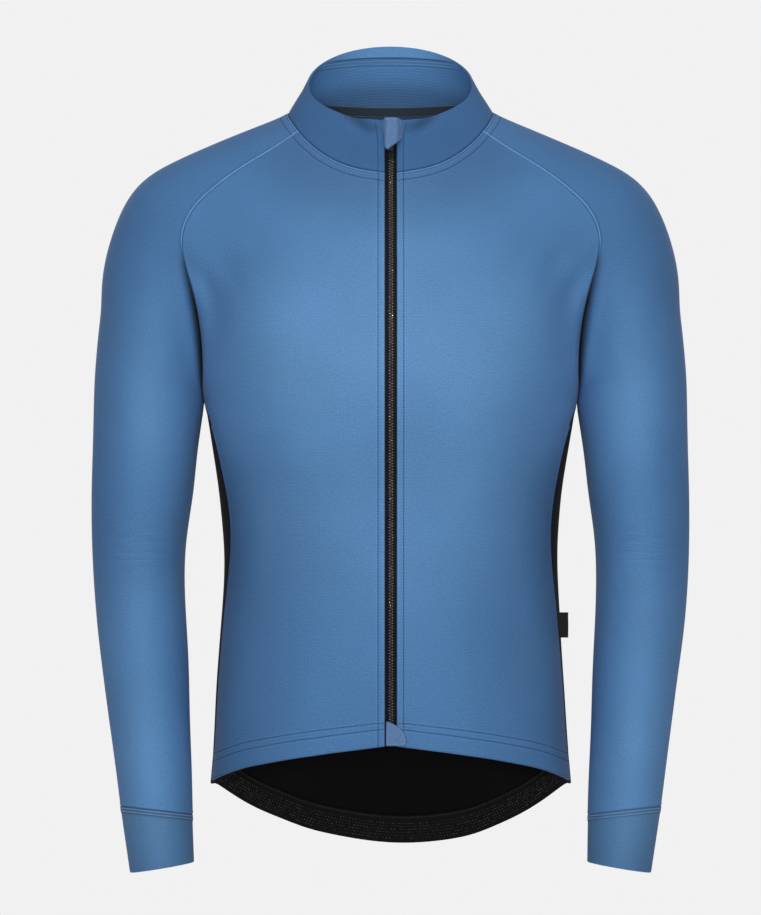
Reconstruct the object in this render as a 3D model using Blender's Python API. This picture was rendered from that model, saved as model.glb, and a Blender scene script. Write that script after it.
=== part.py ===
"""A man's thermal cycling jacket: raglan sleeves, stand-up collar, full zip, dropped back hem.

It keeps the hollow shape that it has when it is worn. +Z is up, the front faces -Y and the wearer's left
is +X. The origin is the middle of the neck's base. Sizes are in millimetres until the meshes are made.

The blue and black panels all lie on one smooth surface, the body: rings round the trunk, blended with a
tube that runs along each shoulder and arm. Each panel is a grid of points between its own seams, moved
onto the body, with a second grid one wall thickness further in.
"""

import math

import bmesh
import bpy
import numpy as np

MM = 0.001

# Walls and gaps
CLOTH = 1.8
COLLAR_CLOTH = 2.0
TAPE = 0.9
FLAP = 1.0
SEAM_GAP = 0.3
LAY_GAP = 0.4

# Heights and places that the pieces share
ARMPIT = np.array((175.6, -8.0, -264.0))
ZIP_EDGE = 5.4
ZIP_FOOT = -586.5
SIDE_SEAM_OUT = 168.0
HEM_SKEW = 2.9
NECK_HALF_WIDTH = 90.7
NECK_MIDDLE, NECK_DEPTH = -7.0, 68.0
FRONT_RAGLAN_ANGLE, BACK_RAGLAN_ANGLE = 61.5, 140.0
COLLAR_TOP_HALF_WIDTH = 77.5
COLLAR_TOP_MIDDLE, COLLAR_TOP_DEPTH = -3.0, 62.0
COLLAR_TOP_FRONT, COLLAR_TOP_BACK = -13.0, 69.0
COLLAR_BULGE = 0.5
COLLAR_FRONT_ROUND = 70.0
SLEEVE_END, SLEEVE_END_TILT, SLEEVE_END_DROP = 752.5, -6.5, 2.0
CUFF_END, CUFF_END_TILT, CUFF_END_DROP = 805.4, 2.0, 3.0
ZIP_MIDDLE = 0.2
TAPE_HALF_WIDTH = 14.0
CHAIN_HALF_WIDTH = 2.3
CHAIN_PROUD, CHAIN_THICKNESS = 0.2, 2.1
FLAP_RISE = 5.6
FLAP_GAP = 0.6
PIVOT_PROUD = 3.0
PULL_THICKNESS = 1.2
LABEL_HEIGHT, LABEL_REACH, LABEL_FOLD = 23.5, 8.3, 0.9
LABEL_MIDDLE = -480.0
EDGE_SETBACK = 0.3
NECK_TAPE_START, NECK_TAPE_LIFT = 74.0, 1.0
GRIPPER_LIFT = 1.0
PIVOT_DROP = 8.0
PULL_LENGTH = 24.0
PULL_HALF_WIDTH = 2.7
LABEL_GAP = 1.7
GRIPPER_DEPTH = 26.0
FACING_DEPTH, FACING_SPREAD, FACING_END = 11.2, 58.0, 55.0
NECK_TAPE_DEPTH = 12.0

# How points are moved onto a surface: the longest single move, and the flattest slope that counts
LONGEST_MOVE = 25.0
LEAST_SLOPE = 0.05
# Where points start from: in front of or behind the middle, and low on the side
START_DEPTH = 110.0
START_HEM = -620.0
CURVE_SAMPLES = 400

# Cells of the grids: across and along
FRONT_CELLS = 9
BODICE_CELLS, RAGLAN_CELLS = 11, 10
BACK_HALF_CELLS = 10
SLEEVE_CELLS, ARM_CELLS = 16, 9
COLLAR_CELLS = 3
CUFF_ROWS = 2
FLAP_ROWS, FLAP_COLUMNS = 6, 9


class Table:
    """Rows of named columns, read as smooth curves through the rows. The first column is the key."""

    def __init__(self, columns, *rows):
        self.columns = columns.split()
        self.rows = np.array(sorted(rows, key=lambda row: row[0]), float)

    def __call__(self, column, at):
        key = self.rows[:, 0]
        value = self.rows[:, self.columns.index(column)]
        slope = np.gradient(value, key)
        at = np.clip(at, key[0], key[-1])
        i = np.clip(np.searchsorted(key, at, side="right") - 1, 0, len(key) - 2)
        span = key[i + 1] - key[i]
        t = (at - key[i]) / span
        ends = value[i] * (1 + 2 * t) * (1 - t) ** 2 + value[i + 1] * t * t * (3 - 2 * t)
        return ends + span * (slope[i] * t * (1 - t) ** 2 - slope[i + 1] * t * t * (1 - t))


# The trunk: at each height, half its width, how far it reaches to the front and the back, and how square
# the ring is (2 is an ellipse).
TRUNK = Table(
    "height half_width front back square",
    (-740, 176, 112, 119, 2.3),
    (-660, 172, 112, 117, 2.3),
    (-600, 167, 112, 113, 2.3),
    (-540, 163, 109, 104, 2.3),
    (-480, 159, 107, 95, 2.3),
    (-420, 156.5, 108, 91, 2.3),
    (-360, 160.5, 112, 98, 2.3),
    (-300, 169.5, 118, 110, 2.35),
    (-264, 175.5, 121, 117, 2.35),
    (-220, 182, 122, 122, 2.35),
    (-180, 187, 118, 123, 2.3),
    (-140, 188, 108, 119, 2.2),
    (-100, 172, 92, 107, 2.1),
    (-70, 140, 75, 92, 2.0),
    (-40, 103, 64, 78, 2.0),
    (-10, 80, 56, 62, 2.0),
    (25, 64, 50, 50, 2.0),
)

# The shoulder and arm: points along its middle, with the tube's half size across (in the plane of the
# shoulders) and deep (front to back).
ARM = Table(
    "step x y z across deep",
    (0, 0, -2, -65, 52, 52),
    (1, 55, -2, -65, 50.5, 54),
    (2, 110, -1, -70.5, 51.5, 58),
    (3, 155, -1, -86.5, 55, 62),
    (4, 190, -2, -110.5, 60.5, 64),
    (5, 210, -4, -145, 57.5, 64),
    (6, 217, -6, -195, 55.3, 63),
    (7, 224.5, -8, -248, 52, 60),
    (8, 228.8, -9, -299, 49.6, 57),
    (9, 232.7, -10, -356, 47.3, 53),
    (10, 235.5, -12, -412, 43.5, 50),
    (11, 233.5, -19, -466, 42, 47),
    (12, 229, -29, -515, 40, 44),
    (13, 224, -39, -565, 37.5, 41),
    (14, 219, -48, -612, 35, 38),
    (15, 215, -56, -660, 32.5, 35),
    (16, 210.3, -64, -708, 29.5, 32),
    (17, 206.5, -71, -752, 28, 30),
)
ARM_SAMPLES = 120

# How broadly the arm and the trunk run into each other, by height: not at all at the armpit.
BLEND = Table("height width", (-330, 3), (-262, 4), (-235, 9), (-190, 20), (-140, 42), (-90, 62), (40, 62))
LOWEST_BLEND = -330.0
FAR = 1000.0

# The neck seam goes round the neck: its height by the angle from the front.
NECK = Table(
    "angle height",
    (0, -65), (28, -57), (46, -46.5), (60, -36), (68, -29),
    (80, -18), (90, -9.5), (112, -1), (140, 0), (180, -0.5),
)

# The front raglan seam, from the neck down to the armpit.
FRONT_RAGLAN = Table(
    "step x y z",
    (1, 101, -58, -34.5),
    (2, 126, -63, -50),
    (3, 146, -66, -63),
    (4, 165, -69, -78),
    (5, 184, -71, -99),
    (6, 192, -72, -120),
    (7, 188, -54, -160),
    (8, 183, -50, -190),
    (9, 178, -42, -222),
    (10, 176, -28, -248),
)

# The back raglan seam, from the neck down to the armpit.
BACK_RAGLAN = Table(
    "step x y z",
    (1, 88, 66, -20),
    (2, 117, 72, -47),
    (3, 143, 76, -76),
    (4, 163, 76, -108),
    (5, 175, 72, -142),
    (6, 180, 62, -176),
    (7, 180, 48, -208),
    (8, 178, 28, -238),
)

# The side seam: how far in front of the body's side it runs.
SIDE_SEAM = Table(
    "height forward",
    (-630, 22), (-540, 25), (-500, 27), (-460, 31), (-430, 37), (-400, 44), (-370, 46),
    (-330, 42), (-290, 31), (-276, 20), (-264, 8),
)

# The hem's height by the distance from the middle, on the front and on the back.
FRONT_HEM = Table("out height", (0, -586), (60, -594), (110, -603), (140, -611), (160, -620), (172, -628))
BACK_HEM = Table(
    "out height",
    (-45, -694.6), (0, -698.5), (45, -694.6), (79, -687),
    (106, -675.8), (127, -665), (150, -648.8), (172, -628),
)

# The flap over the zip's top end and the one over its foot: their edges by the distance from the end.
TOP_FLAP = Table(
    "drop left right",
    (0, -8.6, 9.2), (7, -7.0, 10.9), (14, -5.6, 10.4), (20, -5.1, 8.0),
    (25, -4.8, 4.4), (28, -4.4, 0.9), (30.5, -2.8, -2.0),
)
FOOT_FLAP = Table(
    "rise left right",
    (0, -4.6, 13.4), (7, -4.6, 14.1), (12, -4.6, 12.4), (18, -4.5, 6.4), (22.5, -4.2, -2.4),
)


def unit(vectors):
    return vectors / np.maximum(np.linalg.norm(vectors, axis=-1, keepdims=True), 1e-9)


def run_of(table, start, end, samples):
    """Evenly spaced points from start through a table's x, y and z to end."""
    inner = table.rows[:, 1:4]
    through = np.vstack((start, inner, end))
    step = np.arange(len(through))
    curve = Table("step x y z", *np.column_stack((step, through)))
    fine = np.linspace(0, step[-1], CURVE_SAMPLES)
    return evenly(np.stack([curve(name, fine) for name in "xyz"], 1), samples)


def evenly(points, samples):
    """The same line with samples points, spaced by length."""
    length = np.r_[0, np.cumsum(np.linalg.norm(np.diff(points, axis=0), axis=1))]
    at = np.linspace(0, length[-1], samples)
    return np.stack([np.interp(at, length, points[:, i]) for i in range(3)], 1)


class ArmTube:
    """The tube along the shoulder and arm, for the wearer's left side."""

    def __init__(self):
        step = np.linspace(0, ARM.rows[-1, 0], ARM_SAMPLES)
        self.middle = np.stack([ARM(name, step) for name in "xyz"], 1)
        self.size = np.stack([ARM("across", step), ARM("deep", step)], 1)
        self.along = unit(np.gradient(self.middle, axis=0))
        deep = np.array((0.0, 1.0, 0.0)) - self.along * self.along[:, 1:2]
        self.deep = unit(deep)
        self.across = np.cross(self.along, self.deep)
        self.length = np.r_[0, np.cumsum(np.linalg.norm(np.diff(self.middle, axis=0), axis=1))]

    def at(self, length, what):
        return np.stack([np.interp(length, self.length, what[:, i]) for i in range(what.shape[1])], -1)

    def place(self, length, turn):
        """The point on the tube at a length and a turn: 0 is outwards or up, a quarter turn the front."""
        size = self.at(length, self.size)
        out = np.cos(turn)[..., None] * size[..., :1] * unit(self.at(length, self.across))
        front = np.sin(turn)[..., None] * size[..., 1:] * -unit(self.at(length, self.deep))
        return self.at(length, self.middle) + out + front

    def where(self, points):
        """The length and the turn of the place on the tube nearest to each point."""
        start, leg = self.middle[:-1], np.diff(self.middle, axis=0)
        off = points[:, None] - start
        share = np.clip((off * leg).sum(-1) / (leg**2).sum(-1), 0, 1)
        gap = off - share[..., None] * leg
        i = (gap**2).sum(-1).argmin(1)
        rows = np.arange(len(points))
        length = self.length[i] + share[rows, i] * np.diff(self.length)[i]
        gap = gap[rows, i]
        out = (gap * self.at(length, self.across)).sum(1)
        back = (gap * self.at(length, self.deep)).sum(1)
        size = self.at(length, self.size)
        return length, np.arctan2(-back / size[:, 1], out / size[:, 0]), gap, back, size

    def field(self, points):
        """Below zero inside the tube, above it outside, in millimetres near its wall."""
        gap, back, size = self.where(points)[2:]
        out = np.sqrt(np.maximum((gap**2).sum(1) - back**2, 0))
        reach = np.hypot(out / size[:, 0], back / size[:, 1])
        return (reach - 1) * size[:, 0]


ARM_TUBE = ArmTube()


def trunk_field(points):
    x, y, z = np.abs(points[:, 0]), points[:, 1], points[:, 2]
    square = TRUNK("square", z)
    depth = np.where(y < 0, TRUNK("front", z), TRUNK("back", z))
    ring = (x / TRUNK("half_width", z)) ** square + (np.abs(y) / depth) ** square
    return (ring ** (1 / square) - 1) * depth


def arm_field(points):
    return ARM_TUBE.field(points * np.where(points[:, :1] < 0, (-1, 1, 1), (1, 1, 1)))


def body_field(points):
    """The trunk and the arms, run into each other."""
    trunk, height = trunk_field(points), points[:, 2]
    arm = np.full(len(points), FAR)
    near = height > LOWEST_BLEND
    arm[near] = arm_field(points[near])
    width = BLEND("width", height)
    share = np.clip(0.5 + (arm - trunk) / (2 * width), 0, 1)
    return arm + (trunk - arm) * share - width * share * (1 - share)


def sleeve_field(points):
    """The same, and only the arm where the sleeve hangs clear of the trunk."""
    field = arm_field(points)
    near = points[:, 2] > LOWEST_BLEND
    field[near] = body_field(points[near])
    return field


def slope_of(field, points):
    step = 0.2
    sides = [
        (field(points + move) - field(points - move)) / (2 * step) for move in step * np.eye(3)
    ]
    return np.stack(sides, 1)


def settle(points, field, rounds=10):
    """Moves points onto the surface where the field is zero, and gives the way out of it at each."""
    shape = points.shape
    flat = points.reshape(-1, 3).copy()
    for _ in range(rounds):
        slope = slope_of(field, flat)
        move = slope * (field(flat) / np.maximum((slope**2).sum(1), LEAST_SLOPE))[:, None]
        far = np.maximum(np.linalg.norm(move, axis=1, keepdims=True) / LONGEST_MOVE, 1)
        flat -= move / far
    return flat.reshape(shape), unit(slope_of(field, flat)).reshape(shape)


def neck_points(angles):
    """Points of the neck seam, by the angle from the front."""
    turn = np.radians(angles)
    x = NECK_HALF_WIDTH * np.sin(turn)
    y = NECK_MIDDLE - NECK_DEPTH * np.cos(turn)
    return settle(np.stack((x, y, NECK("height", np.abs(angles))), 1), body_field)[0]


def hem_points(turns, hem):
    """Points of the hem at each turn from the middle, front or back, where a quarter turn is the side."""
    height = np.full(len(turns), START_HEM)
    for _ in range(4):
        square = TRUNK("square", height)
        x = TRUNK("half_width", height) * np.sin(turns) ** (2 / square)
        height = hem("height", x)
    side = "front" if hem is FRONT_HEM else "back"
    y = TRUNK(side, height) * np.cos(turns) ** (2 / square)
    return np.stack((x, -y if side == "front" else y, height), 1)


class Seams:
    """The lines where the panels of the wearer's left side meet."""

    def __init__(self, bodice_cells, raglan_cells):
        self.neck_start = math.degrees(math.asin(ZIP_EDGE / NECK_HALF_WIDTH))
        front_end = neck_points(np.array([FRONT_RAGLAN_ANGLE]))[0]
        back_end = neck_points(np.array([BACK_RAGLAN_ANGLE]))[0]
        armpit = settle(ARMPIT[None], body_field)[0][0]
        self.front_raglan = self.on_body(run_of(FRONT_RAGLAN, front_end, armpit, raglan_cells + 1))
        self.back_raglan = self.on_body(run_of(BACK_RAGLAN, back_end, armpit, raglan_cells + 1))
        low = FRONT_HEM("height", SIDE_SEAM_OUT)
        height = np.linspace(low, armpit[2], bodice_cells + 1)
        self.side = self.side_points(height)
        self.side[-1] = armpit
        neck_end = neck_points(np.array([self.neck_start]))[0]
        z = np.linspace(ZIP_FOOT, neck_end[2], bodice_cells + raglan_cells + 1)
        edge = np.stack((np.full(len(z), ZIP_EDGE), np.full(len(z), -START_DEPTH), z), 1)
        self.zip_edge = settle(edge, body_field)[0]
        self.zip_edge[:, 0] = ZIP_EDGE
        self.zip_edge[0, 2] = ZIP_FOOT
        self.zip_edge[-1] = neck_end

    @staticmethod
    def on_body(points):
        ends = points[[0, -1]]
        settled = settle(points, body_field)[0]
        settled[[0, -1]] = ends
        return settled

    @staticmethod
    def side_points(height):
        forward = SIDE_SEAM("forward", height)
        square = TRUNK("square", height)
        share = 1 - (forward / TRUNK("front", height)) ** square
        x = TRUNK("half_width", height) * share ** (1 / square)
        return np.stack((x, -forward, height), 1)


def patch(bottom, top, left, right):
    """A grid between four lines that share corners: rows from bottom to top, columns from left to right."""
    rows, columns = len(left), len(bottom)
    v = np.linspace(0, 1, rows)[:, None, None]
    u = np.linspace(0, 1, columns)[None, :, None]
    across = left[:, None] * (1 - u) + right[:, None] * u
    along = bottom[None] * (1 - v) + top[None] * v
    corners = (bottom[0] * (1 - u) + bottom[-1] * u) * (1 - v) + (top[0] * (1 - u) + top[-1] * u) * v
    return across + along - corners


def on_surface(grid, field):
    """The grid's inner points moved onto the surface; its border stays."""
    settled, out = settle(grid, field)
    for edge in (np.s_[0], np.s_[-1], np.s_[:, 0], np.s_[:, -1]):
        settled[edge] = grid[edge]
    return settled, out


def front_panel(seams, cells):
    """The wearer's left front, from the zip to the side seam and the raglan seam."""
    corner = seams.side[0]
    angle = np.linspace(seams.neck_start, FRONT_RAGLAN_ANGLE, cells + 1)
    top = neck_points(angle)
    square = TRUNK("square", corner[2])
    end = math.asin((corner[0] / TRUNK("half_width", corner[2])) ** (square / 2))
    start = math.asin((ZIP_EDGE / TRUNK("half_width", ZIP_FOOT)) ** (square / 2))
    spread = np.linspace(start, end, CURVE_SAMPLES)
    bottom = evenly(hem_points(spread, FRONT_HEM), cells + 1)
    left = seams.zip_edge.copy()
    right = np.vstack((seams.side, seams.front_raglan[::-1][1:]))
    bottom[0], bottom[-1] = left[0], right[0]
    top[0], top[-1] = left[-1], right[-1]
    return on_surface(patch(bottom, top, left, right), body_field)


def back_panel(seams, half_cells):
    """The back, from side seam to side seam: one half, mirrored. Its hem hangs lower on the wearer's left."""
    angle = np.linspace(180, BACK_RAGLAN_ANGLE, half_cells + 1)
    top = neck_points(angle)
    right = np.vstack((seams.side, seams.back_raglan[::-1][1:]))
    corner = right[0]
    lower = hem_points(np.linspace(0, math.pi / 2, CURVE_SAMPLES), BACK_HEM)
    bottom = evenly(np.vstack((lower, front_part_of_hem(corner))), half_cells + 1)
    bottom[-1], top[-1] = right[0], right[-1]
    z = np.linspace(bottom[0, 2], top[0, 2], len(right))
    middle = np.stack((np.zeros(len(z)), np.full(len(z), START_DEPTH), z), 1)
    left = settle(middle, body_field)[0]
    left[:, 0] = 0
    left[0], left[-1] = bottom[0], top[0]
    points, out = on_surface(patch(bottom, top, left, right), body_field)
    points[:, 0, 0] = 0
    out[:, 0, 0] = 0
    mirror = np.array((-1, 1, 1))
    points = np.concatenate((points[:, :0:-1] * mirror, points), 1)
    out = np.concatenate((out[:, :0:-1] * mirror, out), 1)
    nearness = np.linspace(1, 0, len(points))[:, None] ** 2
    points[..., 2] -= HEM_SKEW * np.sin(math.pi * points[..., 0] / points[:, -1:, 0]) * nearness
    return points, out


def front_part_of_hem(corner):
    """The short stretch of hem between the body's side and the side seam in front of it."""
    share = np.linspace(0, 1, CURVE_SAMPLES)[1:]
    height = np.full(len(share), corner[2])
    forward = -corner[1] * share
    square = TRUNK("square", height)
    x = TRUNK("half_width", height) * (1 - (forward / TRUNK("front", height)) ** square) ** (1 / square)
    return np.stack((x, -forward, height), 1)


def sleeve_end(turn):
    """How far down the arm the sleeve ends: it is shorter on the outside and longer at the front."""
    return SLEEVE_END + SLEEVE_END_TILT * np.cos(turn) + SLEEVE_END_DROP * np.sin(turn)


def sleeve_panel(seams, cells, arm_cells):
    """The wearer's left sleeve: rows from neck to wrist, columns from the front over to the back."""
    count = cells + 1
    front_length, front_turn = ARM_TUBE.where(seams.front_raglan)[:2]
    back_length, back_turn = ARM_TUBE.where(seams.back_raglan)[:2]
    start_length, start_turn = front_length[-1], front_turn[-1] % (2 * math.pi)
    share = np.linspace(0, 1, arm_cells + 1)[1:]
    end_turn = math.pi
    under_turn = start_turn + (end_turn - start_turn) * np.minimum(share * 3, 1)
    under_length = start_length + (SLEEVE_END - start_length) * share
    front_length = np.r_[front_length, under_length]
    back_length = np.r_[back_length, under_length]
    front_turn = np.r_[front_turn % (2 * math.pi), under_turn]
    back_turn = np.r_[back_turn, np.zeros(arm_cells)]
    back_turn = np.where(back_turn > math.pi / 2, back_turn - 2 * math.pi, back_turn)
    back_turn[-arm_cells:] = under_turn - 2 * math.pi
    across = np.linspace(0, 1, count)
    turn = front_turn[:, None] * (1 - across) + back_turn[:, None] * across
    length = front_length[:, None] * (1 - across) + back_length[:, None] * across
    fade = np.zeros(len(length))
    fade[-arm_cells:] = share**2
    length = length + fade[:, None] * (sleeve_end(turn) - SLEEVE_END)
    guess = ARM_TUBE.place(length, turn)
    angles = np.linspace(FRONT_RAGLAN_ANGLE, BACK_RAGLAN_ANGLE, count)
    top = neck_points(angles)
    hold = np.clip(1 - np.arange(len(length)) / 6, 0, 1) ** 2
    guess = guess + hold[:, None, None] * (top - guess[0])
    rows = len(seams.front_raglan)
    guess[:rows, 0] = seams.front_raglan
    guess[:rows, -1] = seams.back_raglan
    guess[0] = top
    points, out = settle(guess, sleeve_field)
    points[:rows, 0], points[:rows, -1] = seams.front_raglan, seams.back_raglan
    points[0] = top
    return points, out


def cuff_panel(cells, rows):
    """The wearer's left cuff, a closed ring below the sleeve."""
    turn = np.linspace(0, 2 * math.pi, cells + 1)[:-1] + math.pi
    down = np.linspace(0, 1, rows + 1)[:, None]
    end = CUFF_END + CUFF_END_TILT * np.cos(turn) + CUFF_END_DROP * np.sin(turn)
    length = sleeve_end(turn) * (1 - down) + end * down
    return settle(ARM_TUBE.place(length, np.broadcast_to(turn, length.shape)), arm_field)


def collar_angles(start):
    """The angles of the neck seam's points, the same as the panels below have."""
    front = np.linspace(start, FRONT_RAGLAN_ANGLE, FRONT_CELLS + 1)
    side = np.linspace(FRONT_RAGLAN_ANGLE, BACK_RAGLAN_ANGLE, SLEEVE_CELLS + 1)[1:]
    back = np.linspace(BACK_RAGLAN_ANGLE, 180, BACK_HALF_CELLS + 1)[1:]
    half = np.r_[front, side, back]
    return np.r_[half, 360 - half[-2::-1]]


def collar_panel(angles, rows):
    """The collar, from one side of the zip round the back to the other; its last row is the top edge."""
    base = np.where(angles > 180, 360 - angles, angles)
    foot = neck_points(base)
    foot[angles > 180, 0] *= -1
    turn = np.radians(angles)
    top = np.stack(
        (
            COLLAR_TOP_HALF_WIDTH * np.sin(turn),
            COLLAR_TOP_MIDDLE - COLLAR_TOP_DEPTH * np.cos(turn),
            COLLAR_TOP_FRONT + (COLLAR_TOP_BACK - COLLAR_TOP_FRONT) * (1 - np.cos(turn)) / 2,
        ),
        1,
    )
    top[0, 0], top[-1, 0] = ZIP_EDGE, -ZIP_EDGE
    foot[0, 0], foot[-1, 0] = ZIP_EDGE, -ZIP_EDGE
    share = np.linspace(0, 1, rows + 1)[:, None, None]
    outwards = np.stack((np.sin(turn), -np.cos(turn), np.zeros(len(turn))), 1)
    bulge = COLLAR_BULGE * np.sin(math.pi * share) * outwards
    points = foot + (top - foot) * share + bulge
    return points, grid_normals(points, outwards)


def facing_depth(angles):
    """How far the edge turned in at the back of the collar reaches down: it is a crescent."""
    return FACING_DEPTH * (1 - ((angles - 180) / FACING_SPREAD) ** 2)


def grid_normals(points, outwards):
    along = np.gradient(points, axis=0)
    across = np.gradient(points, axis=1)
    out = unit(np.cross(along, across))
    return out * np.sign((out * outwards).sum(-1, keepdims=True))


def drawn_in(points, out, edges, distance=SEAM_GAP / 2):
    """The grid with the named edges moved into the piece, along its surface."""
    points = points.copy()
    moves = np.zeros_like(points)
    for name in edges.split():
        edge, inside = {
            "bottom": (np.s_[0, :], np.s_[1, :]),
            "top": (np.s_[-1, :], np.s_[-2, :]),
            "left": (np.s_[:, 0], np.s_[:, 1]),
            "right": (np.s_[:, -1], np.s_[:, -2]),
        }[name]
        line = points[edge]
        way = unit(np.cross(out[edge], np.gradient(line, axis=0)))
        way *= np.sign((way * (points[inside] - line)).sum(-1, keepdims=True))
        moves[edge] += way * distance
    return points + moves


def mirrored(grid):
    """The same piece on the wearer's right side."""
    return tuple(part * np.array((-1, 1, 1)) for part in grid)


def material(name, colour, roughness, metallic=0.0):
    made = bpy.data.materials.new(name)
    made.use_nodes = True
    shader = made.node_tree.nodes["Principled BSDF"]
    shader.inputs["Base Color"].default_value = (*colour, 1)
    shader.inputs["Roughness"].default_value = roughness
    shader.inputs["Metallic"].default_value = metallic
    return made


def put(name, mesh, look):
    made = bpy.data.objects.new(name, mesh)
    mesh.materials.append(look)
    collection.objects.link(made)
    return made


def shell(name, points, out, thickness, look, depth=0.0, closed=False):
    """A wall: the grid, moved in by depth, and a second one a thickness further in, joined at the rims."""
    outer = points - out * depth
    inner = points - out * (depth + thickness)
    rows, columns = points.shape[:2]
    bm = bmesh.new()
    layers = [
        [[bm.verts.new(point * MM) for point in row] for row in layer] for layer in (outer, inner)
    ]
    wrap = 0 if closed else 1
    for r in range(rows - 1):
        for c in range(columns - wrap):
            d = (c + 1) % columns
            for layer in layers:
                bm.faces.new((layer[r][c], layer[r][d], layer[r + 1][d], layer[r + 1][c]))
    top, under = layers
    for c in range(columns - wrap):
        d = (c + 1) % columns
        for r in (0, rows - 1):
            bm.faces.new((top[r][c], top[r][d], under[r][d], under[r][c]))
    if not closed:
        for r in range(rows - 1):
            for c in (0, columns - 1):
                bm.faces.new((top[r][c], top[r + 1][c], under[r + 1][c], under[r][c]))
    bmesh.ops.triangulate(bm, faces=bm.faces[:], quad_method="SHORT_EDGE")
    bmesh.ops.recalc_face_normals(bm, faces=bm.faces[:])
    mesh = bpy.data.meshes.new(name)
    bm.to_mesh(mesh)
    bm.free()
    mesh.shade_smooth()
    mesh.set_sharp_from_angle(angle=math.radians(40))
    return put(name, mesh, look)


def strip_beside_zip(panel, width):
    """Columns at the zip's middle, at its edge and at width from the middle, on the panel beside it."""
    points, out = panel
    edge, beside = points[:, 0], points[:, 1]
    share = (width - ZIP_EDGE) / (beside[:, :1] - edge[:, :1])
    far = edge + (beside - edge) * share
    middle = edge * (0, 1, 1) + (ZIP_MIDDLE, 0, 0)
    return np.stack((middle, edge, far), 1), np.repeat(out[:, :1], 3, axis=1)


def zip_line(front, collar):
    """The zip's strip for the wearer's left: up the front, over the neck seam and up the collar."""
    low, low_out = strip_beside_zip(front, TAPE_HALF_WIDTH)
    high, high_out = strip_beside_zip(collar, TAPE_HALF_WIDTH)
    bend = low_out[-1] + high_out[0]
    bend = unit(bend) / np.linalg.norm(bend, axis=-1, keepdims=True) * 2
    points = np.concatenate((low[:-1], (low[-1:] + high[:1]) / 2, high[1:]))
    out = np.concatenate((low_out[:-1], bend[None], high_out[1:]))
    return points, out * (0, 1, 1)


def smooth_step(low, high, at):
    share = np.clip((at - low) / (high - low), 0, 1)
    return share * share * (3 - 2 * share)


def over_the_pull(x):
    """How far the top flap stands off to clear the slider and its pull."""
    return FLAP_RISE * smooth_step(-5.9, -3.9, x) * (1 - smooth_step(4.0, 9.6, x))


def flap(edges, place, low, high, rise):
    """A small flap: rows of points between its left and right edges, raised by a rule."""
    along = np.linspace(low, high, FLAP_ROWS)
    across = np.linspace(0, 1, FLAP_COLUMNS)
    left, right = edges("left", along)[:, None], edges("right", along)[:, None]
    x = left * (1 - across) + right * across
    points, out = place(x, np.broadcast_to(along[:, None], x.shape))
    return points + out * rise(x)[..., None], out


def on_collar_front(x, drop):
    """Points of the collar's outer face near the zip, by x and the drop below the top edge."""
    share = 1 - drop / (collar[0][-1, 0, 2] - collar[0][0, 0, 2])
    foot_x, foot_y = NECK_HALF_WIDTH, collar[0][0, 0, 1]
    angle = np.arcsin(x / (foot_x + (COLLAR_TOP_HALF_WIDTH - foot_x) * share))
    lean = COLLAR_TOP_MIDDLE - COLLAR_TOP_DEPTH - foot_y
    y = foot_y + lean * share + (1 - np.cos(angle)) * COLLAR_FRONT_ROUND
    z = collar[0][0, 0, 2] + (collar[0][-1, 0, 2] - collar[0][0, 0, 2]) * share
    points = np.stack((x, y - COLLAR_BULGE * np.sin(math.pi * share), z), -1)
    out = np.broadcast_to(collar[1][2, 0] * (0, 1, 1), points.shape)
    return points, unit(out + np.stack((np.sin(angle), angle * 0, angle * 0), -1))


def on_hem_front(x, rise):
    """Points of the fronts' outer face near the zip's foot."""
    points = np.stack((x, np.full(x.shape, -START_DEPTH), ZIP_FOOT + rise), -1)
    return settle(points, body_field)


def box(name, size, place, bevel):
    """A box with its size and middle in millimetres, its edges bevelled."""
    bm = bmesh.new()
    bmesh.ops.create_cube(bm, size=1.0)
    bmesh.ops.scale(bm, vec=np.array(size) * MM, verts=bm.verts)
    bmesh.ops.translate(bm, vec=np.array(place) * MM, verts=bm.verts)
    bmesh.ops.bevel(
        bm, geom=bm.edges[:], offset=bevel * MM, segments=1, profile=0.5, affect="EDGES"
    )
    mesh = bpy.data.meshes.new(name)
    bm.to_mesh(mesh)
    bm.free()
    return mesh


def outline_solid(name, outline, thickness, look):
    """A flat outline, in millimetres, as a plate of that thickness."""
    curve = bpy.data.curves.new(name, "CURVE")
    curve.dimensions = "2D"
    curve.fill_mode = "BOTH"
    curve.extrude = thickness / 2 * MM
    line = curve.splines.new("POLY")
    line.points.add(len(outline) - 1)
    for point, (x, y) in zip(line.points, outline):
        point.co = (x * MM, y * MM, 0, 1)
    line.use_cyclic_u = True
    curve.materials.append(look)
    made = bpy.data.objects.new(name, curve)
    collection.objects.link(made)
    return made


def rounded_end(half_width, end, radius, steps=4):
    """The lower outline of a tab: its two bottom corners as arcs, from right to left."""
    turns = [math.pi / 2 * i / steps for i in range(steps + 1)]
    x, y = half_width - radius, end + radius
    right = [(x + radius * math.cos(t), y - radius * math.sin(t)) for t in turns]
    return right + [(-x, y) for x, y in reversed(right)]


def placed(made, parent, place=(0, 0, 0), turn=(0, 0, 0)):
    made.parent = parent
    made.location = [at * MM for at in place]
    made.rotation_euler = turn
    return made


def both_sides(name, grid, edges, thickness, look, **more):
    points, out = drawn_in(*grid, edges), grid[1]
    shell(name + "_left", points, out, thickness, look, **more)
    shell(name + "_right", *mirrored((points, out)), thickness, look, **more)


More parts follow.
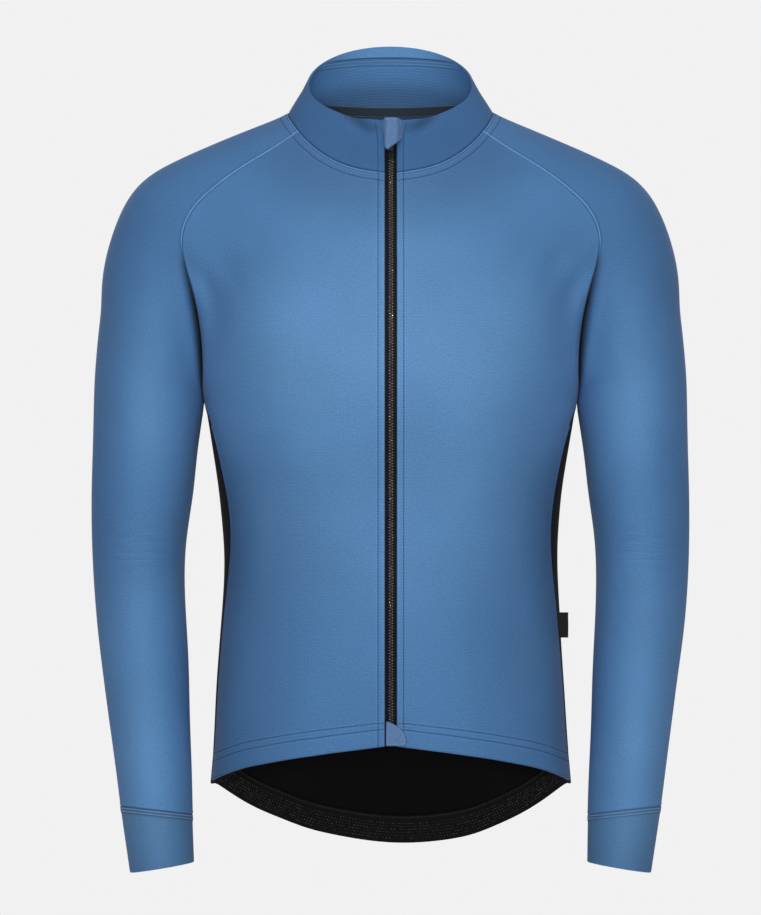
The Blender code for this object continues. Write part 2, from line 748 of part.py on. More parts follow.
def panels():
    """The cut pieces of the jacket and their cuffs and collar."""
    both_sides("front", front, "left top right", CLOTH, blue)
    both_sides("sleeve", sleeve, "bottom top left right", CLOTH, blue)
    points, out = drawn_in(*cuff, "bottom"), cuff[1]
    shell("cuff_left", points, out, CLOTH, blue, closed=True)
    shell("cuff_right", *mirrored((points, out)), CLOTH, blue, closed=True)
    shell("back", drawn_in(*back, "left top right"), back[1], CLOTH, black_cloth)
    shell("collar", drawn_in(*collar, "bottom left right", SEAM_GAP), collar[1], COLLAR_CLOTH, blue)


def bands():
    """What lies inside the collar and the hem: the turned-in edge, the neck tape and the gripper."""
    foot, top, out = collar[0][0], collar[0][-1], collar[1]
    fall = unit(foot - top)
    angles = collar_angles(seams.neck_start)
    behind = np.abs(angles - 180) < FACING_END
    turned_in = np.stack((top + fall * facing_depth(angles)[:, None], top + fall * EDGE_SETBACK))[:, behind]
    shell("collar_facing", turned_in, out[[-1, -1]][:, behind], TAPE, blue, depth=COLLAR_CLOTH + LAY_GAP)
    around = np.abs(angles - 180) < 180 - NECK_TAPE_START
    lifts = np.array((NECK_TAPE_LIFT, NECK_TAPE_LIFT + NECK_TAPE_DEPTH))[:, None, None]
    tape = (foot - fall * lifts)[:, around]
    shell("neck_tape", tape, out[[1, 1]][:, around], TAPE, navy_tape, depth=COLLAR_CLOTH + LAY_GAP)
    points, out = back[0][:, 1:-1], back[1][:, 1:-1]
    rise = unit(points[1] - points[0])
    gripper = np.stack((points[0] + rise * GRIPPER_LIFT, points[0] + rise * (GRIPPER_LIFT + GRIPPER_DEPTH)))
    shell("hem_gripper", gripper, out[[0, 0]], TAPE, black_cloth, depth=CLOTH + LAY_GAP)


def zip_cloth():
    """The zip's tapes, its closed chain as one strip, and the flaps over its two ends."""
    tape, out = zip_line(front, collar)
    both_sides("zip_tape", (tape, out), "bottom top", TAPE, black_cloth, depth=COLLAR_CLOTH + LAY_GAP)
    chain = drawn_in(tape[:-1, :2], out[:-1, :2], "bottom top")
    chain[:, 0, 0], chain[:, 1, 0] = -CHAIN_HALF_WIDTH, CHAIN_HALF_WIDTH
    shell("zip_chain", chain, out[:-1, :2], CHAIN_THICKNESS, black_plastic, depth=-CHAIN_PROUD)
    points, way = flap(TOP_FLAP, on_collar_front, 0.3, TOP_FLAP.rows[-1, 0], over_the_pull)
    shell("zip_flap_top", points, way, FLAP, pale_blue, depth=-FLAP_GAP - FLAP)
    points, way = flap(FOOT_FLAP, on_hem_front, 0.3, FOOT_FLAP.rows[-1, 0], np.zeros_like)
    shell("zip_flap_foot", points, way, FLAP, pale_blue, depth=-FLAP_GAP - FLAP)


def zip_pull():
    """The slider at the top of the chain, and the pull that hangs from its two ears."""
    top, below = collar[0][-1, 0], collar[0][-2, 0]
    down = unit(below - top)
    lean = math.atan2(-down[1], -down[2])
    out = np.array((0, -math.cos(lean), math.sin(lean)))
    hinge = bpy.data.objects.new("zip_hinge", None)
    collection.objects.link(hinge)
    hinge.location = ((top + down * PIVOT_DROP) * (0, 1, 1) + out * PIVOT_PROUD) * MM
    hinge.rotation_euler = (-lean, 0, 0)
    body = put("zip_slider", box("zip_slider", (8.6, 3.9, 11.4), (0, 2.95, -2.9), 0.8), black_plastic)
    placed(body, hinge)
    for side in (-1, 1):
        ear = box("ear", (1.0, 2.8, 3.2), (side * 2.9, 0.4, 0), 0.25)
        ear = bpy.data.objects.new(f"slider_ear_{side}", ear)
        cutters.objects.link(ear)
        ear.hide_render = True
        ear.display_type = "WIRE"
        placed(ear, hinge)
        join = body.modifiers.new("ear", "BOOLEAN")
        join.operation = "UNION"
        join.object = ear
    half = PULL_HALF_WIDTH
    outline = [(2.0, 1.4), (2.0, -3.0), (half, -5.0)] + rounded_end(half, -PULL_LENGTH, 1.6)
    outline += [(-half, -5.0), (-2.0, -3.0), (-2.0, 1.4)]
    plate = outline_solid("zip_pull", outline, PULL_THICKNESS, black_plastic)
    placed(plate, hinge, turn=(math.pi / 2, 0, 0))


def side_label():
    """A folded loop of tape in the wearer's left side seam, left bare."""
    height = seams.side[:, 2]
    x, y = (np.interp(LABEL_MIDDLE, height, seams.side[:, i]) for i in (0, 1))
    far, half, slit = LABEL_REACH, LABEL_FOLD, 0.2
    turns = [math.pi / 2 * i / 4 for i in range(-4, 5)]
    outer = [(far + half * math.cos(t) - half, half * math.sin(t)) for t in turns]
    inner = [(far - half - 0.6, slit), (far - half - 0.6, -slit)]
    outline = [(0, -half)] + outer + [(0, half), (0, slit)] + inner + [(0, -slit)]
    loop = outline_solid("side_label", outline, LABEL_HEIGHT, black_cloth)
    loop.location = ((x + LABEL_GAP) * MM, y * MM, LABEL_MIDDLE * MM)


for old in list(bpy.data.objects):
    bpy.data.objects.remove(old)
collection = bpy.data.collections.new("thermal_jacket")
cutters = bpy.data.collections.new("cutters")
for made in (collection, cutters):
    bpy.context.scene.collection.children.link(made)

blue = material("blue_softshell", (0.076, 0.185, 0.36), 0.6)
pale_blue = material("periwinkle_flap", (0.115, 0.22, 0.40), 0.6)
black_cloth = material("black_softshell", (0.01, 0.01, 0.013), 0.75)
navy_tape = material("navy_tape", (0.014, 0.027, 0.046), 0.8)
black_plastic = material("black_plastic", (0.012, 0.012, 0.014), 0.4)

seams = Seams(BODICE_CELLS, RAGLAN_CELLS)
front = front_panel(seams, FRONT_CELLS)
back = back_panel(seams, BACK_HALF_CELLS)
sleeve = sleeve_panel(seams, SLEEVE_CELLS, ARM_CELLS)
cuff = cuff_panel(SLEEVE_CELLS, CUFF_ROWS)
collar = collar_panel(collar_angles(seams.neck_start), COLLAR_CELLS)

panels()
bands()
zip_cloth()
zip_pull()
side_label()
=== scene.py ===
"""The looks of the thermal jacket: each piece of cloth in detail on the plain model's form."""

import copy
import math

import bmesh
import bpy
import numpy as np
from mathutils import Matrix, Vector


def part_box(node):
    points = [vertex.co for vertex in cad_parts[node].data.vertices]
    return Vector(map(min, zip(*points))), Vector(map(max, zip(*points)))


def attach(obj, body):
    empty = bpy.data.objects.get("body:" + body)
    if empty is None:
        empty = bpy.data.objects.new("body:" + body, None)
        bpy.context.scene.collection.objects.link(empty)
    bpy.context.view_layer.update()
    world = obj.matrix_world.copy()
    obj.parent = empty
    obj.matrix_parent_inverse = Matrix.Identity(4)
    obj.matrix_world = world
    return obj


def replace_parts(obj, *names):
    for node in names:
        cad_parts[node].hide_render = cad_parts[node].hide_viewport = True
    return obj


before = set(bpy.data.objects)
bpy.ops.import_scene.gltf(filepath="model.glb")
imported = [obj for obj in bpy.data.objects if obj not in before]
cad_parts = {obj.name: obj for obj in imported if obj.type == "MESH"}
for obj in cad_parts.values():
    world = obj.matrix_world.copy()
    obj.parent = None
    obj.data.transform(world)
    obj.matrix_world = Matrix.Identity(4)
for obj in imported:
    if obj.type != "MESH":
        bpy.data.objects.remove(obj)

MM = 0.001
MIRROR = np.array((-1.0, 1.0, 1.0))
SIDES = ("left", "right")

# ---- the form, in millimetres, the same as the plain model's ----

# Walls and gaps
CLOTH = 1.8
COLLAR_CLOTH = 2.0
TAPE = 0.9
FLAP = 1.0
LAY_GAP = 0.4

# Heights and places that the pieces share
ARMPIT = np.array((175.6, -8.0, -264.0))
ZIP_EDGE = 5.4
ZIP_FOOT = -586.5
SIDE_SEAM_OUT = 168.0
HEM_SKEW = 2.9
NECK_HALF_WIDTH = 90.7
NECK_MIDDLE, NECK_DEPTH = -7.0, 68.0
FRONT_RAGLAN_ANGLE, BACK_RAGLAN_ANGLE = 61.5, 140.0
COLLAR_TOP_HALF_WIDTH = 77.5
COLLAR_TOP_MIDDLE, COLLAR_TOP_DEPTH = -3.0, 62.0
COLLAR_TOP_FRONT, COLLAR_TOP_BACK = -13.0, 69.0
COLLAR_BULGE = 0.5
COLLAR_FRONT_ROUND = 70.0
SLEEVE_END, SLEEVE_END_TILT, SLEEVE_END_DROP = 752.5, -6.5, 2.0
CUFF_END, CUFF_END_TILT, CUFF_END_DROP = 805.4, 2.0, 3.0
ZIP_MIDDLE = 0.2
TAPE_HALF_WIDTH = 14.0
FLAP_GAP = 0.6
FLAP_RISE, FLAP_RISES, FLAP_FALLS = 5.6, (-5.9, -3.9), (4.0, 9.6)
PIVOT_DROP, PIVOT_PROUD = 8.0, 3.0
PULL_LENGTH, PULL_HALF_WIDTH, PULL_THICKNESS = 24.0, 2.7, 1.2
EDGE_SETBACK = 0.3
FACING_DEPTH, FACING_SPREAD, FACING_END = 11.2, 58.0, 55.0
NECK_TAPE_START, NECK_TAPE_LIFT, NECK_TAPE_WIDTH = 74.0, 1.0, 10.4
GRIPPER_LIFT, GRIPPER_WIDTH = 1.0, 27.0

# How points are moved onto a surface: the longest single move, and the flattest slope that counts
LONGEST_MOVE = 25.0
LEAST_SLOPE = 0.05
SLOPE_STEP = 0.2
SETTLE_ROUNDS = 10
# Where points start from: in front of or behind the middle, and low on the side
START_DEPTH = 110.0
START_HEM = -620.0
HEM_ROUNDS = 4
CURVE_SAMPLES = 400
# Rows over which the sleeve runs from the neck's line into the arm's tube
NECK_BLEND_ROWS = 6

# Cells of the grids: across and along
FRONT_CELLS = 9
BODICE_CELLS, RAGLAN_CELLS = 11, 10
BACK_HALF_CELLS = 10
SLEEVE_CELLS, ARM_CELLS = 16, 9
COLLAR_CELLS = 3
CUFF_ROWS = 2
FLAP_ROWS, FLAP_COLUMNS = 6, 9


class Table:
    """Rows of named columns, read as smooth curves through the rows. The first column is the key."""

    def __init__(self, columns, *rows):
        self.columns = columns.split()
        self.rows = np.array(sorted(rows, key=lambda row: row[0]), float)

    def __call__(self, column, at):
        key = self.rows[:, 0]
        value = self.rows[:, self.columns.index(column)]
        slope = np.gradient(value, key)
        at = np.clip(at, key[0], key[-1])
        i = np.clip(np.searchsorted(key, at, side="right") - 1, 0, len(key) - 2)
        span = key[i + 1] - key[i]
        t = (at - key[i]) / span
        ends = value[i] * (1 + 2 * t) * (1 - t) ** 2 + value[i + 1] * t * t * (3 - 2 * t)
        return ends + span * (slope[i] * t * (1 - t) ** 2 - slope[i + 1] * t * t * (1 - t))


# The trunk: at each height, half its width, how far it reaches to the front and the back, and how square
# the ring is (2 is an ellipse).
TRUNK = Table(
    "height half_width front back square",
    (-740, 176, 112, 119, 2.3),
    (-660, 172, 112, 117, 2.3),
    (-600, 167, 112, 113, 2.3),
    (-540, 163, 109, 104, 2.3),
    (-480, 159, 107, 95, 2.3),
    (-420, 156.5, 108, 91, 2.3),
    (-360, 160.5, 112, 98, 2.3),
    (-300, 169.5, 118, 110, 2.35),
    (-264, 175.5, 121, 117, 2.35),
    (-220, 182, 122, 122, 2.35),
    (-180, 187, 118, 123, 2.3),
    (-140, 188, 108, 119, 2.2),
    (-100, 172, 92, 107, 2.1),
    (-70, 140, 75, 92, 2.0),
    (-40, 103, 64, 78, 2.0),
    (-10, 80, 56, 62, 2.0),
    (25, 64, 50, 50, 2.0),
)

# The shoulder and arm: points along its middle, with the tube's half size across (in the plane of the
# shoulders) and deep (front to back).
ARM = Table(
    "step x y z across deep",
    (0, 0, -2, -65, 52, 52),
    (1, 55, -2, -65, 50.5, 54),
    (2, 110, -1, -70.5, 51.5, 58),
    (3, 155, -1, -86.5, 55, 62),
    (4, 190, -2, -110.5, 60.5, 64),
    (5, 210, -4, -145, 57.5, 64),
    (6, 217, -6, -195, 55.3, 63),
    (7, 224.5, -8, -248, 52, 60),
    (8, 228.8, -9, -299, 49.6, 57),
    (9, 232.7, -10, -356, 47.3, 53),
    (10, 235.5, -12, -412, 43.5, 50),
    (11, 233.5, -19, -466, 42, 47),
    (12, 229, -29, -515, 40, 44),
    (13, 224, -39, -565, 37.5, 41),
    (14, 219, -48, -612, 35, 38),
    (15, 215, -56, -660, 32.5, 35),
    (16, 210.3, -64, -708, 29.5, 32),
    (17, 206.5, -71, -752, 28, 30),
)
ARM_SAMPLES = 120

# How broadly the arm and the trunk run into each other, by height: not at all at the armpit.
BLEND = Table("height width", (-330, 3), (-262, 4), (-235, 9), (-190, 20), (-140, 42), (-90, 62), (40, 62))
LOWEST_BLEND = -330.0
FAR = 1000.0

# The neck seam goes round the neck: its height by the angle from the front.
NECK = Table(
    "angle height",
    (0, -65), (28, -57), (46, -46.5), (60, -36), (68, -29),
    (80, -18), (90, -9.5), (112, -1), (140, 0), (180, -0.5),
)

# The front raglan seam, from the neck down to the armpit.
FRONT_RAGLAN = Table(
    "step x y z",
    (1, 101, -58, -34.5),
    (2, 126, -63, -50),
    (3, 146, -66, -63),
    (4, 165, -69, -78),
    (5, 184, -71, -99),
    (6, 192, -72, -120),
    (7, 188, -54, -160),
    (8, 183, -50, -190),
    (9, 178, -42, -222),
    (10, 176, -28, -248),
)

# The back raglan seam, from the neck down to the armpit.
BACK_RAGLAN = Table(
    "step x y z",
    (1, 88, 66, -20),
    (2, 117, 72, -47),
    (3, 143, 76, -76),
    (4, 163, 76, -108),
    (5, 175, 72, -142),
    (6, 180, 62, -176),
    (7, 180, 48, -208),
    (8, 178, 28, -238),
)

# The side seam: how far in front of the body's side it runs.
SIDE_SEAM = Table(
    "height forward",
    (-630, 22), (-540, 25), (-500, 27), (-460, 31), (-430, 37), (-400, 44), (-370, 46),
    (-330, 42), (-290, 31), (-276, 20), (-264, 8),
)

# The hem's height by the distance from the middle, on the front and on the back.
FRONT_HEM = Table("out height", (0, -586), (60, -594), (110, -603), (140, -611), (160, -620), (172, -628))
BACK_HEM = Table(
    "out height",
    (-45, -694.6), (0, -698.5), (45, -694.6), (79, -687),
    (106, -675.8), (127, -665), (150, -648.8), (172, -628),
)

# The flap over the zip's top end and the one over its foot: their edges by the distance from the end.
TOP_FLAP = Table(
    "drop left right",
    (0, -8.6, 9.2), (7, -7.0, 10.9), (14, -5.6, 10.4), (20, -5.1, 8.0),
    (25, -4.8, 4.4), (28, -4.4, 0.9), (30.5, -2.8, -2.0),
)
FOOT_FLAP = Table(
    "rise left right",
    (0, -4.6, 13.4), (7, -4.6, 14.1), (12, -4.6, 12.4), (18, -4.5, 6.4), (22.5, -4.2, -2.4),
)


def unit(vectors):
    return vectors / np.maximum(np.linalg.norm(vectors, axis=-1, keepdims=True), 1e-9)


def run_lengths(line):
    """How far along a line each of its points is."""
    return np.r_[0, np.cumsum(np.linalg.norm(np.diff(line, axis=0), axis=1))]


def read_along(at, length, values):
    """Rows of values that are known at some lengths along a line, read at others."""
    return np.stack([np.interp(at, length, column) for column in values.T], -1)


def nearest_on(path, points):
    """The leg of a path that is nearest to each point, the share along it, and the move onto it."""
    start, leg = path[:-1], np.diff(path, axis=0)
    off = points[:, None] - start
    share = np.clip((off * leg).sum(-1) / np.maximum((leg**2).sum(-1), 1e-9), 0, 1)
    move = share[..., None] * leg - off
    i = (move**2).sum(-1).argmin(1)
    rows = np.arange(len(points))
    return i, share[rows, i], move[rows, i]


def run_of(table, start, end, samples):
    """Evenly spaced points from start through a table's x, y and z to end."""
    inner = table.rows[:, 1:4]
    through = np.vstack((start, inner, end))
    step = np.arange(len(through))
    curve = Table("step x y z", *np.column_stack((step, through)))
    fine = np.linspace(0, step[-1], CURVE_SAMPLES)
    return evenly(np.stack([curve(name, fine) for name in "xyz"], 1), samples)


def evenly(points, samples):
    """The same line with samples points, spaced by length."""
    length = run_lengths(points)
    return read_along(np.linspace(0, length[-1], samples), length, points)


class ArmTube:
    """The tube along the shoulder and arm, for the wearer's left side."""

    def __init__(self):
        step = np.linspace(0, ARM.rows[-1, 0], ARM_SAMPLES)
        self.middle = np.stack([ARM(name, step) for name in "xyz"], 1)
        self.size = np.stack([ARM("across", step), ARM("deep", step)], 1)
        self.along = unit(np.gradient(self.middle, axis=0))
        self.deep = unit(np.array((0.0, 1.0, 0.0)) - self.along * self.along[:, 1:2])
        self.across = np.cross(self.along, self.deep)
        self.length = run_lengths(self.middle)

    def at(self, length, what):
        return read_along(length, self.length, what)

    def place(self, length, turn):
        """The point on the tube at a length and a turn: 0 is outwards or up, a quarter turn the front."""
        size = self.at(length, self.size)
        out = np.cos(turn)[..., None] * size[..., :1] * unit(self.at(length, self.across))
        front = np.sin(turn)[..., None] * size[..., 1:] * -unit(self.at(length, self.deep))
        return self.at(length, self.middle) + out + front

    def where(self, points):
        """The length and the turn of the place on the tube nearest to each point, and how far off that is."""
        i, share, move = nearest_on(self.middle, points)
        length = self.length[i] + share * np.diff(self.length)[i]
        gap = -move
        out = (gap * self.at(length, self.across)).sum(1)
        back = (gap * self.at(length, self.deep)).sum(1)
        size = self.at(length, self.size)
        return length, np.arctan2(-back / size[:, 1], out / size[:, 0]), gap, back, size

    def field(self, points):
        """Below zero inside the tube, above it outside, in millimetres near its wall."""
        gap, back, size = self.where(points)[2:]
        out = np.sqrt(np.maximum((gap**2).sum(1) - back**2, 0))
        reach = np.hypot(out / size[:, 0], back / size[:, 1])
        return (reach - 1) * size[:, 0]


ARM_TUBE = ArmTube()


def trunk_field(points):
    x, y, z = np.abs(points[:, 0]), points[:, 1], points[:, 2]
    square = TRUNK("square", z)
    depth = np.where(y < 0, TRUNK("front", z), TRUNK("back", z))
    ring = (x / TRUNK("half_width", z)) ** square + (np.abs(y) / depth) ** square
    return (ring ** (1 / square) - 1) * depth


def arm_field(points):
    return ARM_TUBE.field(points * np.where(points[:, :1] < 0, (-1, 1, 1), (1, 1, 1)))


def body_field(points):
    """The trunk and the arms, run into each other."""
    trunk, height = trunk_field(points), points[:, 2]
    arm = np.full(len(points), FAR)
    near = height > LOWEST_BLEND
    arm[near] = arm_field(points[near])
    width = BLEND("width", height)
    share = np.clip(0.5 + (arm - trunk) / (2 * width), 0, 1)
    return arm + (trunk - arm) * share - width * share * (1 - share)


def sleeve_field(points):
    """The same, and only the arm where the sleeve hangs clear of the trunk."""
    field = arm_field(points)
    near = points[:, 2] > LOWEST_BLEND
    field[near] = body_field(points[near])
    return field


def slope_of(field, points):
    moves = SLOPE_STEP * np.eye(3)
    return np.stack([(field(points + move) - field(points - move)) / (2 * SLOPE_STEP) for move in moves], 1)


def settle(points, field):
    """Moves points onto the surface where the field is zero, and gives the way out of it at each."""
    shape = points.shape
    flat = points.reshape(-1, 3).copy()
    for _ in range(SETTLE_ROUNDS):
        slope = slope_of(field, flat)
        move = slope * (field(flat) / np.maximum((slope**2).sum(1), LEAST_SLOPE))[:, None]
        far = np.maximum(np.linalg.norm(move, axis=1, keepdims=True) / LONGEST_MOVE, 1)
        flat -= move / far
    return flat.reshape(shape), unit(slope_of(field, flat)).reshape(shape)


def neck_points(angles):
    """Points of the neck seam, by the angle from the front."""
    turn = np.radians(angles)
    x = NECK_HALF_WIDTH * np.sin(turn)
    y = NECK_MIDDLE - NECK_DEPTH * np.cos(turn)
    return settle(np.stack((x, y, NECK("height", np.abs(angles))), 1), body_field)[0]


def hem_points(turns, hem):
    """Points of the hem at each turn from the middle, front or back, where a quarter turn is the side."""
    height = np.full(len(turns), START_HEM)
    for _ in range(HEM_ROUNDS):
        square = TRUNK("square", height)
        x = TRUNK("half_width", height) * np.sin(turns) ** (2 / square)
        height = hem("height", x)
    side = "front" if hem is FRONT_HEM else "back"
    y = TRUNK(side, height) * np.cos(turns) ** (2 / square)
    return np.stack((x, -y if side == "front" else y, height), 1)


def on_side(height, forward):
    """Points of the trunk's side at each height, forward of its widest line."""
    square = TRUNK("square", height)
    share = 1 - (forward / TRUNK("front", height)) ** square
    return np.stack((TRUNK("half_width", height) * share ** (1 / square), -forward, height), 1)


class Seams:
    """The lines where the panels of the wearer's left side meet."""

    def __init__(self, bodice_cells, raglan_cells):
        self.neck_start = math.degrees(math.asin(ZIP_EDGE / NECK_HALF_WIDTH))
        front_end = neck_points(np.array([FRONT_RAGLAN_ANGLE]))[0]
        back_end = neck_points(np.array([BACK_RAGLAN_ANGLE]))[0]
        armpit = settle(ARMPIT[None], body_field)[0][0]
        self.front_raglan = self.on_body(run_of(FRONT_RAGLAN, front_end, armpit, raglan_cells + 1))
        self.back_raglan = self.on_body(run_of(BACK_RAGLAN, back_end, armpit, raglan_cells + 1))
        low = FRONT_HEM("height", SIDE_SEAM_OUT)
        height = np.linspace(low, armpit[2], bodice_cells + 1)
        self.side = on_side(height, SIDE_SEAM("forward", height))
        self.side[-1] = armpit
        neck_end = neck_points(np.array([self.neck_start]))[0]
        z = np.linspace(ZIP_FOOT, neck_end[2], bodice_cells + raglan_cells + 1)
        edge = np.stack((np.full(len(z), ZIP_EDGE), np.full(len(z), -START_DEPTH), z), 1)
        self.zip_edge = settle(edge, body_field)[0]
        self.zip_edge[:, 0] = ZIP_EDGE
        self.zip_edge[0, 2] = ZIP_FOOT
        self.zip_edge[-1] = neck_end

    @staticmethod
    def on_body(points):
        ends = points[[0, -1]]
        settled = settle(points, body_field)[0]
        settled[[0, -1]] = ends
        return settled


def patch(bottom, top, left, right):
    """A grid between four lines that share corners: rows from bottom to top, columns from left to right."""
    rows, columns = len(left), len(bottom)
    v = np.linspace(0, 1, rows)[:, None, None]
    u = np.linspace(0, 1, columns)[None, :, None]
    across = left[:, None] * (1 - u) + right[:, None] * u
    along = bottom[None] * (1 - v) + top[None] * v
    corners = (bottom[0] * (1 - u) + bottom[-1] * u) * (1 - v) + (top[0] * (1 - u) + top[-1] * u) * v
    return across + along - corners


def on_surface(grid, field):
    """The grid's inner points moved onto the surface; its border stays."""
    settled, out = settle(grid, field)
    for edge in (np.s_[0], np.s_[-1], np.s_[:, 0], np.s_[:, -1]):
        settled[edge] = grid[edge]
    return settled, out


def front_panel(seams, cells):
    """The wearer's left front, from the zip to the side seam and the raglan seam."""
    corner = seams.side[0]
    angle = np.linspace(seams.neck_start, FRONT_RAGLAN_ANGLE, cells + 1)
    top = neck_points(angle)
    square = TRUNK("square", corner[2])
    end = math.asin((corner[0] / TRUNK("half_width", corner[2])) ** (square / 2))
    start = math.asin((ZIP_EDGE / TRUNK("half_width", ZIP_FOOT)) ** (square / 2))
    spread = np.linspace(start, end, CURVE_SAMPLES)
    bottom = evenly(hem_points(spread, FRONT_HEM), cells + 1)
    left = seams.zip_edge.copy()
    right = np.vstack((seams.side, seams.front_raglan[::-1][1:]))
    bottom[0], bottom[-1] = left[0], right[0]
    top[0], top[-1] = left[-1], right[-1]
    return on_surface(patch(bottom, top, left, right), body_field)


def back_panel(seams, half_cells):
    """The back, from side seam to side seam: one half, mirrored. Its hem hangs lower on the wearer's left."""
    angle = np.linspace(180, BACK_RAGLAN_ANGLE, half_cells + 1)
    top = neck_points(angle)
    right = np.vstack((seams.side, seams.back_raglan[::-1][1:]))
    corner = right[0]
    lower = hem_points(np.linspace(0, math.pi / 2, CURVE_SAMPLES), BACK_HEM)
    bottom = evenly(np.vstack((lower, front_part_of_hem(corner))), half_cells + 1)
    bottom[-1], top[-1] = right[0], right[-1]
    z = np.linspace(bottom[0, 2], top[0, 2], len(right))
    middle = np.stack((np.zeros(len(z)), np.full(len(z), START_DEPTH), z), 1)
    left = settle(middle, body_field)[0]
    left[:, 0] = 0
    left[0], left[-1] = bottom[0], top[0]
    points, out = on_surface(patch(bottom, top, left, right), body_field)
    points[:, 0, 0] = 0
    out[:, 0, 0] = 0
    points, out = (np.concatenate((part[:, :0:-1] * MIRROR, part), 1) for part in (points, out))
    nearness = np.linspace(1, 0, len(points))[:, None] ** 2
    points[..., 2] -= HEM_SKEW * np.sin(math.pi * points[..., 0] / points[:, -1:, 0]) * nearness
    return points, out


def front_part_of_hem(corner):
    """The short stretch of hem between the body's side and the side seam in front of it."""
    share = np.linspace(0, 1, CURVE_SAMPLES)[1:]
    return on_side(np.full(len(share), corner[2]), -corner[1] * share)


def sleeve_end(turn):
    """How far down the arm the sleeve ends: it is shorter on the outside and longer at the front."""
    return SLEEVE_END + SLEEVE_END_TILT * np.cos(turn) + SLEEVE_END_DROP * np.sin(turn)


def sleeve_panel(seams, cells, arm_cells):
    """The wearer's left sleeve: rows from neck to wrist, columns from the front over to the back."""
    count = cells + 1
    front_length, front_turn = ARM_TUBE.where(seams.front_raglan)[:2]
    back_length, back_turn = ARM_TUBE.where(seams.back_raglan)[:2]
    start_length, start_turn = front_length[-1], front_turn[-1] % (2 * math.pi)
    share = np.linspace(0, 1, arm_cells + 1)[1:]
    under_turn = start_turn + (math.pi - start_turn) * np.minimum(share * 3, 1)
    under_length = start_length + (SLEEVE_END - start_length) * share
    front_length = np.r_[front_length, under_length]
    back_length = np.r_[back_length, under_length]
    front_turn = np.r_[front_turn % (2 * math.pi), under_turn]
    back_turn = np.r_[back_turn, np.zeros(arm_cells)]
    back_turn = np.where(back_turn > math.pi / 2, back_turn - 2 * math.pi, back_turn)
    back_turn[-arm_cells:] = under_turn - 2 * math.pi
    across = np.linspace(0, 1, count)
    turn = front_turn[:, None] * (1 - across) + back_turn[:, None] * across
    length = front_length[:, None] * (1 - across) + back_length[:, None] * across
    fade = np.zeros(len(length))
    fade[-arm_cells:] = share**2
    length = length + fade[:, None] * (sleeve_end(turn) - SLEEVE_END)
    guess = ARM_TUBE.place(length, turn)
    angles = np.linspace(FRONT_RAGLAN_ANGLE, BACK_RAGLAN_ANGLE, count)
    top = neck_points(angles)
    hold = np.clip(1 - np.arange(len(length)) / NECK_BLEND_ROWS, 0, 1) ** 2
    guess = guess + hold[:, None, None] * (top - guess[0])
    rows = len(seams.front_raglan)
    guess[:rows, 0] = seams.front_raglan
    guess[:rows, -1] = seams.back_raglan
    guess[0] = top
    points, out = settle(guess, sleeve_field)
    points[:rows, 0], points[:rows, -1] = seams.front_raglan, seams.back_raglan
    points[0] = top
    return points, out


def cuff_panel(cells, rows):
    """The wearer's left cuff, a closed ring below the sleeve."""
    turn = np.linspace(0, 2 * math.pi, cells + 1)[:-1] + math.pi
    down = np.linspace(0, 1, rows + 1)[:, None]
    end = CUFF_END + CUFF_END_TILT * np.cos(turn) + CUFF_END_DROP * np.sin(turn)
    length = sleeve_end(turn) * (1 - down) + end * down
    return settle(ARM_TUBE.place(length, np.broadcast_to(turn, length.shape)), arm_field)


def collar_angles(start):
    """The angles of the neck seam's points, the same as the panels below have."""
    front = np.linspace(start, FRONT_RAGLAN_ANGLE, FRONT_CELLS + 1)
    side = np.linspace(FRONT_RAGLAN_ANGLE, BACK_RAGLAN_ANGLE, SLEEVE_CELLS + 1)[1:]
    back = np.linspace(BACK_RAGLAN_ANGLE, 180, BACK_HALF_CELLS + 1)[1:]
    half = np.r_[front, side, back]
    return np.r_[half, 360 - half[-2::-1]]


def collar_panel(angles, rows):
    """The collar, from one side of the zip round the back to the other; its last row is the top edge."""
    base = np.where(angles > 180, 360 - angles, angles)
    foot = neck_points(base)
    foot[angles > 180, 0] *= -1
    turn = np.radians(angles)
    top = np.stack(
        (
            COLLAR_TOP_HALF_WIDTH * np.sin(turn),
            COLLAR_TOP_MIDDLE - COLLAR_TOP_DEPTH * np.cos(turn),
            COLLAR_TOP_FRONT + (COLLAR_TOP_BACK - COLLAR_TOP_FRONT) * (1 - np.cos(turn)) / 2,
        ),
        1,
    )
    top[0, 0], top[-1, 0] = ZIP_EDGE, -ZIP_EDGE
    foot[0, 0], foot[-1, 0] = ZIP_EDGE, -ZIP_EDGE
    share = np.linspace(0, 1, rows + 1)[:, None, None]
    outwards = np.stack((np.sin(turn), -np.cos(turn), np.zeros(len(turn))), 1)
    bulge = COLLAR_BULGE * np.sin(math.pi * share) * outwards
    points = foot + (top - foot) * share + bulge
    return points, grid_normals(points, outwards)


def facing_depth(angles):
    """How far the edge turned in at the back of the collar reaches down: it is a crescent."""
    return FACING_DEPTH * (1 - ((angles - 180) / FACING_SPREAD) ** 2)


def grid_normals(points, outwards):
    along = np.gradient(points, axis=0)
    across = np.gradient(points, axis=1)
    out = unit(np.cross(along, across))
    return out * np.sign((out * outwards).sum(-1, keepdims=True))


def strip_beside_zip(panel, width):
    """Columns at the zip's middle, at its edge and at width from the middle, on the panel beside it."""
    points, out = panel
    edge, beside = points[:, 0], points[:, 1]
    share = (width - ZIP_EDGE) / (beside[:, :1] - edge[:, :1])
    far = edge + (beside - edge) * share
    middle = edge * (0, 1, 1) + (ZIP_MIDDLE, 0, 0)
    return np.stack((middle, edge, far), 1), np.repeat(out[:, :1], 3, axis=1)


